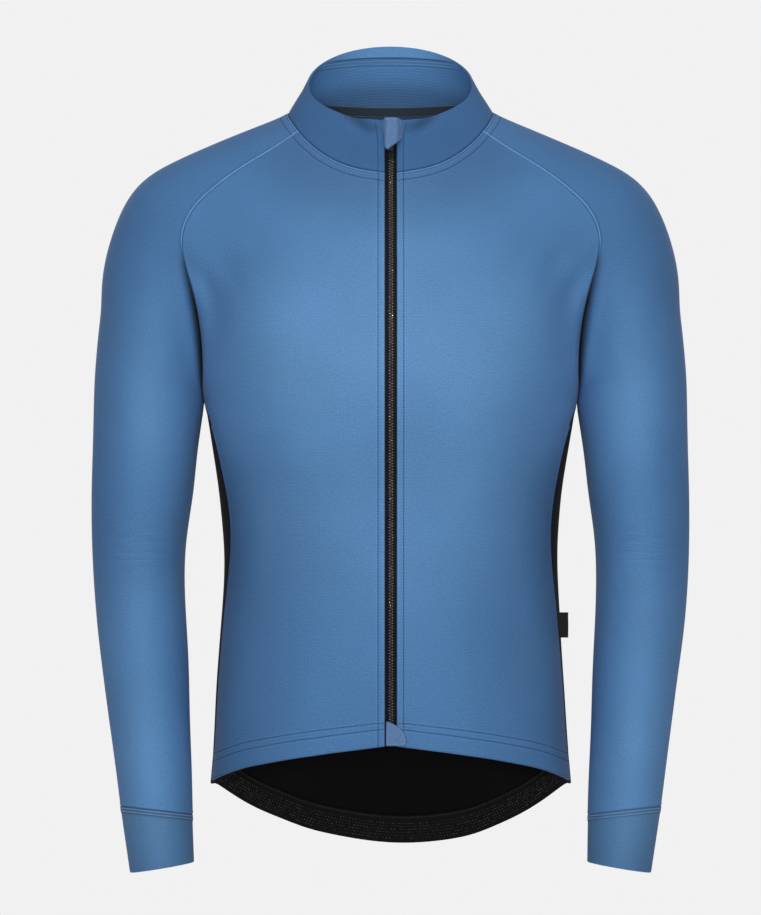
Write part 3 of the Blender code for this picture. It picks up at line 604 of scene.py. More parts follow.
def zip_line(front, collar):
    """The zip's strip for the wearer's left: up the front, over the neck seam and up the collar."""
    low, low_out = strip_beside_zip(front, TAPE_HALF_WIDTH)
    high, high_out = strip_beside_zip(collar, TAPE_HALF_WIDTH)
    bend = low_out[-1] + high_out[0]
    bend = unit(bend) / np.linalg.norm(bend, axis=-1, keepdims=True) * 2
    points = np.concatenate((low[:-1], (low[-1:] + high[:1]) / 2, high[1:]))
    out = np.concatenate((low_out[:-1], bend[None], high_out[1:]))
    return points, out * (0, 1, 1)


def smooth_step(low, high, at):
    share = np.clip((at - low) / (high - low), 0, 1)
    return share * share * (3 - 2 * share)


def over_the_pull(x):
    """How far the top flap stands off to clear the slider and its pull."""
    return FLAP_RISE * smooth_step(*FLAP_RISES, x) * (1 - smooth_step(*FLAP_FALLS, x))


def flap(edges, place, low, high, rise):
    """A small flap: rows of points between its left and right edges, raised by a rule."""
    along = np.linspace(low, high, FLAP_ROWS)
    across = np.linspace(0, 1, FLAP_COLUMNS)
    left, right = edges("left", along)[:, None], edges("right", along)[:, None]
    x = left * (1 - across) + right * across
    points, out = place(x, np.broadcast_to(along[:, None], x.shape))
    return points + out * rise(x)[..., None], out


def on_collar_front(x, drop):
    """Points of the collar's outer face near the zip, by x and the drop below the top edge."""
    (foot_y, foot_z), rise = collar[0][0, 0, 1:], collar[0][-1, 0, 2] - collar[0][0, 0, 2]
    share = 1 - drop / rise
    angle = np.arcsin(x / (NECK_HALF_WIDTH + (COLLAR_TOP_HALF_WIDTH - NECK_HALF_WIDTH) * share))
    lean = COLLAR_TOP_MIDDLE - COLLAR_TOP_DEPTH - foot_y
    y = foot_y + lean * share + (1 - np.cos(angle)) * COLLAR_FRONT_ROUND
    points = np.stack((x, y - COLLAR_BULGE * np.sin(math.pi * share), foot_z + rise * share), -1)
    out = np.broadcast_to(collar[1][2, 0] * (0, 1, 1), points.shape)
    return points, unit(out + np.stack((np.sin(angle), angle * 0, angle * 0), -1))


def on_hem_front(x, rise):
    """Points of the fronts' outer face near the zip's foot."""
    points = np.stack((x, np.full(x.shape, -START_DEPTH), ZIP_FOOT + rise), -1)
    return settle(points, body_field)


# ---- sheets of cloth ----

SEAM_STOPS = (0, 0.25, 0.6, 1.0, 1.5, 2.1, 2.9, 4.2, 6.2)
FOLD_STOPS = (0, 0.2, 0.5, 0.9, 1.4, 2.1, 3.2, 5.0)
PLAIN = (0,)
# How finely a sheet is sampled to measure it, and how often its lines are brought together
LATTICE, MEETING_ROUNDS = 160, 4
# The columns that a ring is lengthened by on each side
RING_MARGIN = 3
# How near a neighbour's edge has to be for two edges to be joined, and how far in the cloth moves and turns
JOIN_REACH, JOIN_FADE, LEAN_FADE = 2.0, 14.0, 9.0
# The outermost line of points at each edge, and one a little inside it
EDGE_ROWS = {
    "left": (np.s_[:, 0], np.s_[:, 2]),
    "right": (np.s_[:, -1], np.s_[:, -3]),
    "bottom": (np.s_[0], np.s_[2]),
    "top": (np.s_[-1], np.s_[-3]),
}


def spline_weights(count, at):
    """What turns values at 0, 1, 2 ... into those of a smooth curve through them, at other places."""
    system, right = np.eye(count), np.zeros((count, count))
    for i in range(1, count - 1):
        system[i, i - 1 : i + 2] = 1, 4, 1
        right[i, i - 1 : i + 2] = 6, -12, 6
    system[0, 1] = system[-1, -2] = -1
    bend = np.linalg.solve(system, right)
    i = np.clip(at.astype(int), 0, count - 2)
    t = (at - i)[:, None]
    weights = (1 - t) * np.eye(count)[i] + t * np.eye(count)[i + 1]
    return weights + ((1 - t) ** 3 - (1 - t)) / 6 * bend[i] + (t**3 - t) / 6 * bend[i + 1]


def lengths(points, axis):
    """How far each point of a grid is from the grid's first edge, along the rows or the columns."""
    steps = np.linalg.norm(np.diff(points, axis=axis), axis=-1)
    return np.cumsum(np.insert(steps, 0, 0, axis=axis), axis=axis)


def stops(total, near, far, cells):
    """Places along a line: the set ones from both ends and even cells between them."""
    middle = np.linspace(near[-1], total - far[-1], cells + 1)
    return np.r_[near[:-1], middle, [total - stop for stop in far[:-1][::-1]]]


class Sheet:
    """A smooth fine grid through a coarse one, with extra lines at set distances from its edges.

    Rows run along axis 0 (bottom to top), columns along axis 1 (left to right). A closed sheet is a ring.
    """

    def __init__(self, grid, cells, left=PLAIN, right=PLAIN, bottom=PLAIN, top=PLAIN, closed=False):
        points, out = grid
        self.closed = closed
        wrap = RING_MARGIN if closed else 0
        if closed:
            points, out = (np.concatenate((part[:, -wrap:], part, part[:, : wrap + 1]), 1) for part in grid)
        self.coarse = points
        rows, columns = points.shape[:2]
        across, along = cells
        u_line = np.linspace(wrap, columns - 1 - wrap, LATTICE)
        v_line = np.linspace(0, rows - 1, LATTICE)
        lattice = self.at(*np.meshgrid(u_line, v_line))
        by_row, by_column = lengths(lattice, 1), lengths(lattice, 0)
        u_table = np.array([np.interp(stops(s[-1], left, right, across), s, u_line) for s in by_row])
        v_table = np.array([np.interp(stops(s[-1], bottom, top, along), s, v_line) for s in by_column.T])
        v = np.repeat(v_table.mean(0)[:, None], u_table.shape[1], 1)
        for _ in range(MEETING_ROUNDS):
            u = np.stack([np.interp(v[:, j], v_line, u_table[:, j]) for j in range(v.shape[1])], 1)
            v = np.stack([np.interp(u[i], u_line, v_table[:, i]) for i in range(v.shape[0])])
        self.points = self.at(u, v)
        row, column = np.clip(np.rint((v, u)).astype(int), 0, np.reshape((rows - 1, columns - 1), (2, 1, 1)))
        self.out = self.normals(self.points, out[row, column])
        if closed:
            self.points, self.out = self.points[:, :-1], self.out[:, :-1]
        self.measure()

    def measure(self):
        self.across, self.along = lengths(self.points, 1), lengths(self.points, 0)
        self.left, self.right = self.across, self.across[:, -1:] - self.across
        self.bottom, self.top = self.along, self.along[-1:] - self.along
        for name in ("height", "inner_height", "shade", "inner_shade"):
            setattr(self, name, np.zeros(self.points.shape[:2]))

    @classmethod
    def of(cls, points, out):
        """A sheet that is these points, as they are."""
        made = cls.__new__(cls)
        made.points, made.out, made.closed = points, out, False
        made.measure()
        return made

    @classmethod
    def band(cls, lines, inside=np.s_[:]):
        """A sheet with one row for each line of points and ways out, cut to a part of the lines."""
        return cls.of(*(np.stack([line[i][inside] for line in lines]) for i in (0, 1)))

    def edge_gap(self):
        """The distance to the nearest of the four edges."""
        return np.minimum(np.minimum(self.left, self.right), np.minimum(self.bottom, self.top))

    def at(self, u, v):
        rows, columns = self.coarse.shape[:2]
        by_row = (spline_weights(rows, v.ravel()) @ self.coarse.reshape(rows, -1)).reshape(-1, columns, 3)
        return (by_row * spline_weights(columns, u.ravel())[..., None]).sum(1).reshape(*u.shape, 3)

    def normals(self, points, guide):
        if not self.closed:
            return grid_normals(points, guide)
        wide = np.concatenate((points[:, -2:-1], points, points[:, 1:2]), 1)
        return grid_normals(wide, np.concatenate((guide[:, -2:-1], guide, guide[:, 1:2]), 1))[:, 1:-1]

    def on(self, side):
        """A copy of the sheet for the wearer's left, or mirrored for the right."""
        twin = copy.copy(self)
        if side == "right":
            twin.points, twin.out = self.points * MIRROR, self.out * MIRROR
        return twin

    def faded(self, edge, change, reach):
        """A change along an edge, carried into the sheet and gone at reach from the edge."""
        fade = (1 - smooth_step(0, reach, getattr(self, edge)))[..., None]
        return fade * (change[:, None] if edge in ("left", "right") else change[None])

    def join(self, edge, path, overrun=0.3):
        """Moves an edge onto the neighbour's path, the cloth beside it with it, and a little past it."""
        at, inside = EDGE_ROWS[edge]
        move = nearest_on(path, self.points[at])[2]
        move *= np.linalg.norm(move, axis=1, keepdims=True) < JOIN_REACH
        self.points = self.points + self.faded(edge, move, JOIN_FADE)
        self.points[at] += unit(self.points[at] - self.points[inside]) * overrun

    def lean(self, edge, path, ways):
        """Turns the ways out beside an edge to halfway between its own and those of the neighbour's path."""
        at = EDGE_ROWS[edge][0]
        own = self.out[at]
        nearest, share, move = nearest_on(path, self.points[at])
        share = share[:, None]
        theirs = unit(ways[nearest] * (1 - share) + ways[nearest + 1] * share)
        turned = unit(own + theirs) - own
        turned *= 1 - smooth_step(JOIN_REACH, 2 * JOIN_REACH, np.linalg.norm(move, axis=1, keepdims=True))
        self.out = unit(self.out + self.faded(edge, turned, LEAN_FADE))

    def line(self, edge, distance):
        """The points and the ways out along the sheet, at a distance (mm) from one of its edges."""
        gap, parts = getattr(self, edge), (self.points + self.out * self.height[..., None], self.out)
        if edge in ("bottom", "top"):
            gap, parts = gap.T, [part.transpose(1, 0, 2) for part in parts]
        if edge in ("right", "top"):
            gap, parts = gap[:, ::-1], [part[:, ::-1] for part in parts]
        wanted = np.broadcast_to(distance, len(gap))
        points, ways = (np.stack([read_along(*row) for row in zip(wanted, gap, part)]) for part in parts)
        return points, unit(ways)


def rolled(distance, depth, width):
    """An edge that rolls over: it drops by depth within width of the edge."""
    share = 1 - np.clip(distance / width, 0, 1)
    return -depth * (1 - np.sqrt(np.clip(1 - share**2, 0, 1)))


def mark(distance, at, strength, width):
    """A change of shade, or a ridge, along a line at a distance from an edge."""
    return strength * np.exp(-(((distance - at) / width) ** 2))


def groove(distance, at, depth, width):
    return mark(distance, at, -depth, width)


# How deep a crease still is at its ends (as a share of a half turn), and where its swells lie (in widths)
CREASE_END, FLANK_PLACE = 0.06, 1.9


def crease(points, path, width, depth, flank=0.45):
    """A soft trough along a path, with a low swell on each side, that fades out at both its ends."""
    path = np.array(path, float)
    nearest, share, move = nearest_on(path, points.reshape(-1, 3))
    length = run_lengths(path)
    along = (length[nearest] + share * np.diff(length)[nearest]) / length[-1]
    gap = np.linalg.norm(move, axis=1) / width
    fade = np.sin(math.pi * (CREASE_END + (1 - 2 * CREASE_END) * along)) ** 0.8
    fade = fade * np.where((along <= 0) | (along >= 1), np.exp(-(gap**2) / 2), 1)
    shape = mark(gap, FLANK_PLACE, flank, 1) - mark(gap, 0, 1, 1)
    return (depth * fade * shape).reshape(points.shape[:-1])


WAVE_COUNT = 9


def waves(points, size, seed):
    """Slow, soft unevenness between about -1 and 1, with features of about that size (mm)."""
    rng = np.random.default_rng(seed)
    total = np.zeros(points.shape[:-1])
    for _ in range(WAVE_COUNT):
        way = unit(rng.normal(size=3)) * (2 * math.pi / size) * rng.uniform(0.6, 1.4)
        total += np.sin(points @ way + rng.uniform(0, 2 * math.pi))
    return total / math.sqrt(WAVE_COUNT)


# ---- making meshes ----

CLOTH_SHARP, PLASTIC_SHARP = math.radians(50), math.radians(35)


def add_object(name, data):
    """A new object in the scene."""
    made = bpy.data.objects.new(name, data)
    bpy.context.scene.collection.objects.link(made)
    return made


def add_piece(name, mesh, body="jacket"):
    """A mesh as a piece of the jacket that rides on its body."""
    made = add_object(name, mesh)
    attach(made, body)
    return made


def mesh_from(name, bm, look):
    """What was made in a mesh editor, as a mesh of one material."""
    mesh = bpy.data.meshes.new(name)
    bm.to_mesh(mesh)
    bm.free()
    mesh.materials.append(look)
    return mesh


def mesh_piece(name, points, faces, look, slot, uv=None, shade=None):
    """A mesh in millimetres as a finished piece. Its shade darkens its colour below 0 and lightens it above:
    mostly painted shade and highlights, and some of the cloth's own tone.
    """
    mesh = bpy.data.meshes.new(name)
    mesh.from_pydata((points * MM).tolist(), [], faces if isinstance(faces, list) else faces.tolist())
    if uv is not None:
        layer = mesh.uv_layers.new(name="cloth")
        index = np.empty(len(mesh.loops), int)
        mesh.loops.foreach_get("vertex_index", index)
        layer.data.foreach_set("uv", (uv * MM)[index].ravel())
    if shade is not None:
        mesh.attributes.new("shade", "FLOAT", "POINT").data.foreach_set("value", np.ravel(shade))
    mesh.materials.append(look)
    mesh.validate()
    mesh.shade_smooth()
    mesh.set_sharp_from_angle(angle=CLOTH_SHARP)
    return add_piece(name, mesh)


def grid_faces(rows, columns, closed=False, start=0):
    index = np.arange(rows * columns).reshape(rows, columns) + start
    after = np.roll(index, -1, 1)
    if not closed:
        index, after = index[:, :-1], after[:, :-1]
    return np.stack((index[:-1], after[:-1], after[1:], index[1:]), -1).reshape(-1, 4)


def shell_piece(name, sheet, thickness, look, slot, depth=0.0):
    """A wall of cloth: the sheet's outer face, its inner face and the rims between them."""
    outer = sheet.points + sheet.out * (sheet.height - depth)[..., None]
    inner = sheet.points + sheet.out * (sheet.inner_height - depth - thickness)[..., None]
    rows, columns = sheet.points.shape[:2]
    count = rows * columns
    uv = np.stack((sheet.across, sheet.along), -1).reshape(-1, 2)
    faces = [grid_faces(rows, columns, sheet.closed), grid_faces(rows, columns, sheet.closed, count)[:, ::-1]]
    index = np.arange(count).reshape(rows, columns)
    rims = [(index[0], False), (index[-1], True)]
    if not sheet.closed:
        rims += [(index[:, 0], True), (index[:, -1], False)]
    for rim, turned in rims:
        if sheet.closed:
            rim = np.r_[rim, rim[:1]]
        side = np.stack((rim[:-1], rim[1:], rim[1:] + count, rim[:-1] + count), -1)
        faces.append(side if turned else side[:, ::-1])
    faces = np.concatenate(faces)
    points = np.concatenate((outer, inner)).reshape(-1, 3)
    corner = points[faces[0]]
    if np.cross(corner[1] - corner[0], corner[2] - corner[0]) @ sheet.out[0, 0] < 0:
        faces = faces[:, ::-1]
    shade = np.stack((sheet.shade, sheet.inner_shade))
    return mesh_piece(name, points, faces, look, slot, np.concatenate((uv, uv)), shade)


def declare(piece, node):
    """Hides the plain model's part that the piece takes the place of."""
    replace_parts(piece, node)


def round_turns(sides):
    return np.arange(sides) / sides * 2 * math.pi


def template(rings, sides, foot=True):
    """A small closed mesh through rings of points, with a face on its last ring and, as a rule, its first."""
    faces = [tuple(face) for face in grid_faces(len(rings), sides, closed=True)]
    if foot:
        faces.append(tuple(range(sides))[::-1])
    count = len(rings) * sides
    return np.concatenate(rings), faces + [tuple(range(count - sides, count))]


# A stitch, thickest in its middle and sunk at its ends: how far along, how thick and how high, as shares.
STITCH_HALF = ((1, 0.45, -1.1), (0.72, 0.9, -0.25), (0.25, 1, 0.1))
STITCH_SIDES = 6


def stitch_shape(length, radius):
    turn, half = round_turns(STITCH_SIDES), length / 2
    ends = [(-x, thick, rise) for x, thick, rise in STITCH_HALF] + list(STITCH_HALF[::-1])
    rings = []
    for x, thick, rise in ends:
        across, up = radius * thick * np.cos(turn), radius * thick * np.sin(turn) + radius * rise
        rings.append(np.stack((np.full(STITCH_SIDES, half * x), across, up), 1))
    return template(rings, STITCH_SIDES)


def stamped(shape, places, ways):
    """Copies of a small mesh. ways holds each copy's x, y and z axes as rows."""
    points, faces = shape
    all_faces = [tuple(i + n * len(points) for i in face) for n in range(len(places)) for face in faces]
    return (places[:, None] + points @ ways).reshape(-1, 3), all_faces


def frames_along(line, out, pitch):
    """Evenly spaced places on a line, with the axes there: along it, across it and outwards."""
    length = run_lengths(line)
    count = max(int(length[-1] / pitch), 1)
    at = (length[-1] - count * pitch) / 2 + pitch * (np.arange(count) + 0.5)
    way = unit(read_along(at + 0.5, length, line) - read_along(at - 0.5, length, line))
    up = read_along(at, length, out)
    up = unit(up - way * (up * way).sum(1, keepdims=True))
    return read_along(at, length, line), np.stack((way, np.cross(up, way), up), 1)


def merged(parts):
    points, faces, count = [], [], 0
    for more, extra in parts:
        points.append(more)
        faces += [tuple(i + count for i in face) for face in extra]
        count += len(more)
    return np.concatenate(points), faces


# ---- materials ----

SHEEN_ROUGHNESS, SHEEN_TINT = 0.45, (0.8, 0.7, 1.0)
# The sizes of what is seen in the knit, in metres
WALE, COURSE, CROSS_PITCH, GRAIN, FUZZ, PATCH = 0.00055, 0.0005, 0.0028, 0.0016, 0.0045, 0.09
# How much the fine wrinkles count as painted shade and highlight in the colour, how much they and the cross
# ribs of the knit count in the bump, and how fine the wrinkles are
WRINKLE_PAINTED_SHADE, WRINKLE_HEIGHT, CROSS_RIB = 0.45, 1.5, 0.25
WRINKLE_SCALE, WRINKLE_STRETCH = 430.0, 0.07


class Look:
    """A material that is built from nodes, one small step at a time."""

    def __init__(self, name, roughness, metallic=0.0, sheen=0.0, tint=(1, 1, 1), coat=0.0, specular=0.5):
        self.made = bpy.data.materials.new(name)
        self.made.use_nodes = True
        self.nodes, self.links = self.made.node_tree.nodes, self.made.node_tree.links
        self.shader = self.nodes["Principled BSDF"]
        self.set(Roughness=roughness, Metallic=metallic, Coat_Weight=coat, Specular_IOR_Level=specular)
        self.set(Sheen_Weight=sheen, Sheen_Roughness=SHEEN_ROUGHNESS, Sheen_Tint=(*tint, 1))

    def set(self, **values):
        for name, value in values.items():
            self.shader.inputs[name.replace("_", " ")].default_value = value

    def add(self, kind, inputs=(), **settings):
        node = self.nodes.new("ShaderNode" + kind)
        for name, value in settings.items():
            setattr(node, name, value)
        for key, value in dict(inputs).items():
            if isinstance(value, bpy.types.NodeSocket):
                self.links.new(value, node.inputs[key])
            else:
                node.inputs[key].default_value = value
        return node

    def math(self, what, a, b=0.0, c=0.0):
        return self.add("Math", {0: a, 1: b, 2: c}, operation=what).outputs[0]

    def total(self, start, *terms):
        """A start and sockets, each times its share, added up."""
        for socket, share in terms:
            start = self.math("MULTIPLY_ADD", socket, share, start)
        return start

    def place(self, flat=True):
        """Where a point is: on the cloth as it was cut, or in the object."""
        if flat:
            return self.add("UVMap", uv_map="cloth").outputs[0]
        return self.add("TexCoord").outputs["Object"]

    def noise(self, size, detail=2.0, flat=False, stretch=(1, 1, 1)):
        """Soft noise with features of about size (metres)."""
        at = self.add("Mapping", {"Vector": self.place(flat), "Scale": stretch}).outputs[0]
        return self.add("TexNoise", {"Vector": at, "Scale": 1 / size, "Detail": detail}).outputs["Fac"]

    def ribs(self, pitch, axis, flat=True):
        """A sine across the cloth or along it, from 0 to 1, once a pitch (metres)."""
        parts = self.add("SeparateXYZ", {0: self.place(flat)})
        turn = self.math("MULTIPLY", parts.outputs["XYZ".index(axis)], 2 * math.pi / pitch)
        return self.math("MULTIPLY_ADD", self.math("SINE", turn), 0.5, 0.5)

    def tones(self, factor, *stops):
        ramp = self.add("ValToRGB", {"Fac": factor})
        band = ramp.color_ramp
        while len(band.elements) < len(stops):
            band.elements.new(0.5)
        for element, (at, colour) in zip(band.elements, stops):
            element.position, element.color = at, (*colour, 1)
        return ramp.outputs["Color"]

    def finish(self, colour, height=None, bump=0.0, size=0.001, roughness=None):
        """Brings the colour, scaled by the mesh's shade (mostly painted shade and highlights), and the rest
        to the shader.
        """
        shade = self.math("ADD", self.add("Attribute", attribute_name="shade").outputs["Fac"], 1.0)
        colour = self.add("VectorMath", {0: colour, "Scale": shade}, operation="SCALE").outputs[0]
        self.links.new(colour, self.shader.inputs["Base Color"])
        if roughness is not None:
            self.links.new(roughness, self.shader.inputs["Roughness"])
        if height is not None:
            made = self.add("Bump", {"Height": height, "Strength": bump, "Distance": size})
            self.links.new(made.outputs[0], self.shader.inputs["Normal"])
        return self.made


def scaled(colour, by):
    return tuple(min(part * by, 1) for part in colour)


def wrinkles(look, middle, reach, slant=0.0):
    """Fine, almost level wrinkles around a place (metres), the same on both sides: about -0.5 to 0.5."""
    parts = look.add("SeparateXYZ", {0: look.place(flat=False)}).outputs
    across = look.math("ABSOLUTE", parts["X"])
    folded = look.add("CombineXYZ", {"X": across, "Y": parts["Y"], "Z": parts["Z"]}).outputs[0]
    gap = look.add("VectorMath", {0: folded, 1: middle}, operation="DISTANCE").outputs["Value"]
    near = look.add("MapRange", {"Value": gap, 1: 0.35 * reach, 2: reach, 3: 1.0, 4: 0.0}).outputs[0]
    level = look.math("MULTIPLY_ADD", across, slant, parts["Z"])
    drawn = look.add("CombineXYZ", {"X": look.math("MULTIPLY", across, WRINKLE_STRETCH), "Z": level})
    lines = look.add("TexNoise", {"Vector": drawn.outputs[0], "Scale": WRINKLE_SCALE, "Detail": 1.0})
    return look.math("MULTIPLY", look.math("SUBTRACT", lines.outputs["Fac"], 0.5), near)


def softshell(name, colour, roughness=0.68, gleam=0.3, sheen=0.06, specular=0.3, wrinkled=()):
    """A brushed, close knit: fine wales and courses, faint cross ribs, and a soft grain."""
    look = Look(name, roughness, metallic=gleam, sheen=sheen, tint=SHEEN_TINT, specular=specular)
    knit = look.math("MULTIPLY", look.ribs(WALE, "X"), look.ribs(COURSE, "Y"))
    grain = look.noise(GRAIN, 3.0, flat=True)
    cross = look.ribs(CROSS_PITCH, "Z", flat=False)
    patches = look.noise(PATCH, 2.0)
    fuzz = look.noise(FUZZ, 2.0, flat=True, stretch=(1, 2.5, 1))
    lines = [wrinkles(look, *place) for place in wrinkled]
    shade = look.total(0.0, (patches, 0.26), (grain, 0.58), (fuzz, 0.16), (cross, 0.03))
    # The fine wrinkles are painted into the colour: painted shade in their troughs, painted highlight on
    # their crowns.
    shade = look.total(shade, *((line, WRINKLE_PAINTED_SHADE) for line in lines))
    colour = look.tones(shade, (0.3, scaled(colour, 0.80)), (0.5, colour), (0.7, scaled(colour, 1.20)))
    height = look.total(knit, (grain, 0.55), (cross, CROSS_RIB), *((line, WRINKLE_HEIGHT) for line in lines))
    rough = look.total(roughness - 0.06, (grain, 0.12))
    return look.finish(colour, height, 0.28, 0.0003, rough)


def woven(name, colour, pitch=(0.0011, 0.0013), bump=0.6, sheen=0.01, specular=0.35):
    """A tape or band: crossing ribs, with painted highlights on their crowns and painted shade in the gaps,
    over a soft grain.
    """
    look = Look(name, 0.7, sheen=sheen, specular=specular)
    crowns = look.math("MULTIPLY", look.ribs(pitch[0], "X"), look.ribs(pitch[1], "Y"))
    grain = look.noise(0.0012, 3.0, flat=True)
    mixed = look.total(look.math("MULTIPLY", crowns, 0.6), (grain, 0.5))
    tone = look.tones(mixed, (0.15, scaled(colour, 0.6)), (0.5, colour), (0.85, scaled(colour, 1.7)))
    return look.finish(tone, mixed, bump, 0.0004, look.total(0.6, (grain, 0.2)))


def thread(name, colour):
    """Twisted thread."""
    look = Look(name, 0.6, sheen=0.1)
    twist = look.noise(0.0005, 2.0, stretch=(1, 1, 2.5))
    tone = look.tones(twist, (0.3, scaled(colour, 0.7)), (0.7, scaled(colour, 1.25)))
    return look.finish(tone, twist, 0.4, 0.0002)


def moulded(name, colour, roughness=0.35, coat=0.1):
    """Moulded plastic or lacquered metal with a fine orange peel and slight wear."""
    look = Look(name, roughness, coat=coat)
    peel = look.noise(0.0009, 3.0)
    wear = look.noise(0.004, 4.0)
    tone = look.tones(wear, (0.35, colour), (0.75, scaled(colour, 1.5)))
    return look.finish(tone, peel, 0.15, 0.0002, look.total(roughness - 0.12, (wear, 0.25)))


def backdrop_look(name, brightness):
    look = Look(name, 0.9)
    look.nodes.remove(look.shader)
    glow = look.add("Emission", {"Color": (brightness, brightness, brightness, 1)})
    look.links.new(glow.outputs[0], look.nodes["Material Output"].inputs["Surface"])
    return look.made


def floor_look(name):
    look = Look(name, 0.85, specular=0.1)
    return look.finish(look.tones(look.noise(0.25, 3.0), (0.3, (0.80,) * 3), (0.7, (0.82,) * 3)))


# ---- how the cloth lies ----

# Soft creases on the wearer's left: path, width and depth. On the other side they are lower and flatter.
CREASES = (
    (((170, -60, -232), (158, -92, -246), (138, -108, -268)), 10, 0.7),
    (((172, -52, -262), (160, -84, -284), (146, -98, -312)), 11, 0.6),
    (((146, -74, -352), (143, -80, -385), (146, -76, -425)), 11, 1.5),
    (((168, 40, -226), (150, 88, -244), (118, 116, -262)), 8, 1.5),
    (((166, 52, -262), (144, 88, -292), (108, 104, -322)), 10, 1.3),
    (((158, 38, -470), (110, 88, -492), (40, 96, -498)), 10, 1.2),
    (((152, 52, -520), (120, 86, -548), (70, 102, -560)), 12, 1.0),
    (((206, -60, -196), (226, -66, -236), (246, -58, -262)), 7, 0.9),
    (((196, 44, -206), (222, 54, -240), (246, 46, -270)), 8, 1.1),
    (((206, -58, -420), (228, -63, -424), (252, -56, -419)), 2.6, 0.32),
    (((210, -60, -413), (230, -64, -416), (254, -56, -412)), 2.4, 0.26),
    (((214, -62, -428), (232, -65, -431), (256, -56, -427)), 2.4, 0.24),
    (((208, 34, -436), (232, 36, -446), (256, 28, -440)), 6, 0.9),
    (((202, 16, -520), (222, 18, -530), (246, 10, -522)), 7, 0.7),
    (((196, -74, -640), (212, -92, -652), (228, -88, -648)), 4, 0.35),
    (((88, -111, -586), (88, -112, -600), (90, -112, -609)), 3.0, 1.2),
    (((105, -107, -584), (104, -108, -602), (104, -108, -612)), 2.8, 1.1),
    (((128, -98, -592), (127, -99, -608), (127, -99, -620)), 3.4, 0.7),
    (((14, -117, -574), (20, -117, -580), (24, -117, -588)), 2.6, 0.9),
    (((60, 116, -640), (60, 117, -668), (60, 118, -690)), 5.0, 0.7),
)
# The deep fold where each sleeve hangs against the front, along the lower raglan seam.
SLEEVE_FOLD = ((190, -70, -130), (187, -67, -158), (180, -60, -190), (176, -49, -222), (175, -38, -248))
SLEEVE_FOLD_WIDTH, SLEEVE_FOLD_DEPTH = 4.2, 2.6
SIDE_SHIFT = (0.0, 0.0, -5.0)
SIDE_DEPTH = 0.85
WAVE_HEIGHT, WAVE_SIZE, WAVE_SEED = 0.4, 120.0, 5


def folds(points):
    """How far the cloth stands off its smooth form."""
    height = WAVE_HEIGHT * waves(points, WAVE_SIZE, WAVE_SEED)
    for path, width, depth in CREASES:
        left = np.array(path, float)
        for side, this, share in ((1, left, 1.0), (-1, left * MIRROR + SIDE_SHIFT, SIDE_DEPTH)):
            reach = np.ptp(this, 0).sum() + 6 * width
            near = (points[..., 0] * side > 0) & (np.abs(points - this[1]).sum(-1) < reach)
            if near.any():
                height[near] += crease(points[near], this, width, depth * share)
    one_side = np.concatenate((np.abs(points[..., :1]), points[..., 1:]), -1)
    return height + crease(one_side, SLEEVE_FOLD, SLEEVE_FOLD_WIDTH, SLEEVE_FOLD_DEPTH, 0.35)


def at_ease(sheet, profile, inner=0.0):
    """The sheet with its folds on both faces, and its seams' profile on the outer face."""
    loose = folds(sheet.points)
    sheet.height = loose + profile
    sheet.inner_height = loose + inner
    return sheet


# ---- the jacket's panels ----

ZIP_STITCH = 6.3
NECK_STITCHES = (2.2, 8.2)
HEM_STITCHES = ((15.5, 17.5), (21.0, 25.0))
SEAM_DEPTH, SEAM_ROLL = 1.1, 2.0
ZIP_STOPS = (0, 0.2, 0.5, 0.9, 1.5, 2.4, 3.8, 5.2, 5.7, 6.1, 6.5, 6.9, 7.5, 8.6, 10.5)
NECK_STOPS = (0, 0.25, 0.6, 1.0, 1.5, 1.9, 2.2, 2.5, 3.0, 4.0, 5.6, 7.2, 7.8, 8.2, 8.6, 9.2, 10.5, 13)
HEM_STOPS = (
    0, 0.25, 0.7, 1.4, 2.6, 4.5, 7, 10, 13, 14.6, 15.4, 16, 16.6, 17.2, 18, 19.4, 20.6, 21.4, 22.2, 23,
    23.8, 24.6, 25.6, 27.5, 31,
)
BACK_HEM_STITCH, BACK_FACE_TONE = 29.0, 2.0
BACK_HEM_STOPS = (0, 0.25, 0.7, 1.4, 3, 28, 28.6, 29.2, 30, 32)
CUFF_STITCHES = (0.5, 3.1, 5.7)
CUFF_STOPS = (0, 0.25, 0.5, 0.8, 1.2, 1.7, 2.2, 2.7, 3.1, 3.5, 4.0, 4.6, 5.2, 5.7, 6.2, 6.8, 7.8)
# How dark the painted shade is in the channels along the cover seam's rows: more so on the wearer's right
CUFF_SEAM_PAINTED_SHADE = {"left": -0.22, "right": -0.44}
# The pale stitches along the sleeve's seams: how far from the edge, and how low they still show at each side
RIDGE_STITCH, RIDGE_ENDS = 0.9, (("left", -128.0), ("right", ARMPIT[2]))


def seam_edge(distance):
    return rolled(distance, SEAM_DEPTH, SEAM_ROLL)


def raised_seam(distance, rise=0.35):
    """A flat seam: it swells beside the line where the two cloths meet."""
    return rise * np.exp(-(((distance - 1.6) / 1.3) ** 2)) + rolled(distance, 0.8, 1.2)


def beside_sleeve_fold(sheet):
    """From 0 to 1: how far a place lies down the deep fold between the sleeve and the front."""
    return smooth_step(122, 150, -sheet.points[..., 2]) * (sheet.points[..., 1] < 0)


def drawn_shade(distance, at):
    """A row of stitches draws the cloth into a valley between two swells: painted shade in the valley,
    painted highlights on the swells.
    """
    swells = mark(distance, at - 1.3, 0.10, 0.6) + mark(distance, at + 1.3, 0.08, 0.6)
    return mark(distance, at, -0.20, 0.5) + swells


def neck_shade(distance):
    """Painted shade in the neck seam's groove, a painted highlight on its rolled rim and a softer one below
    it, and the painted shade and highlights of the cloth drawn in along the stitches.
    """
    shade = mark(distance, 0, -0.65, 0.8) + mark(distance, 1.3, 0.72, 0.6) + mark(distance, 3.8, 0.12, 1.0)
    return shade + drawn_shade(distance, NECK_STITCHES[1])


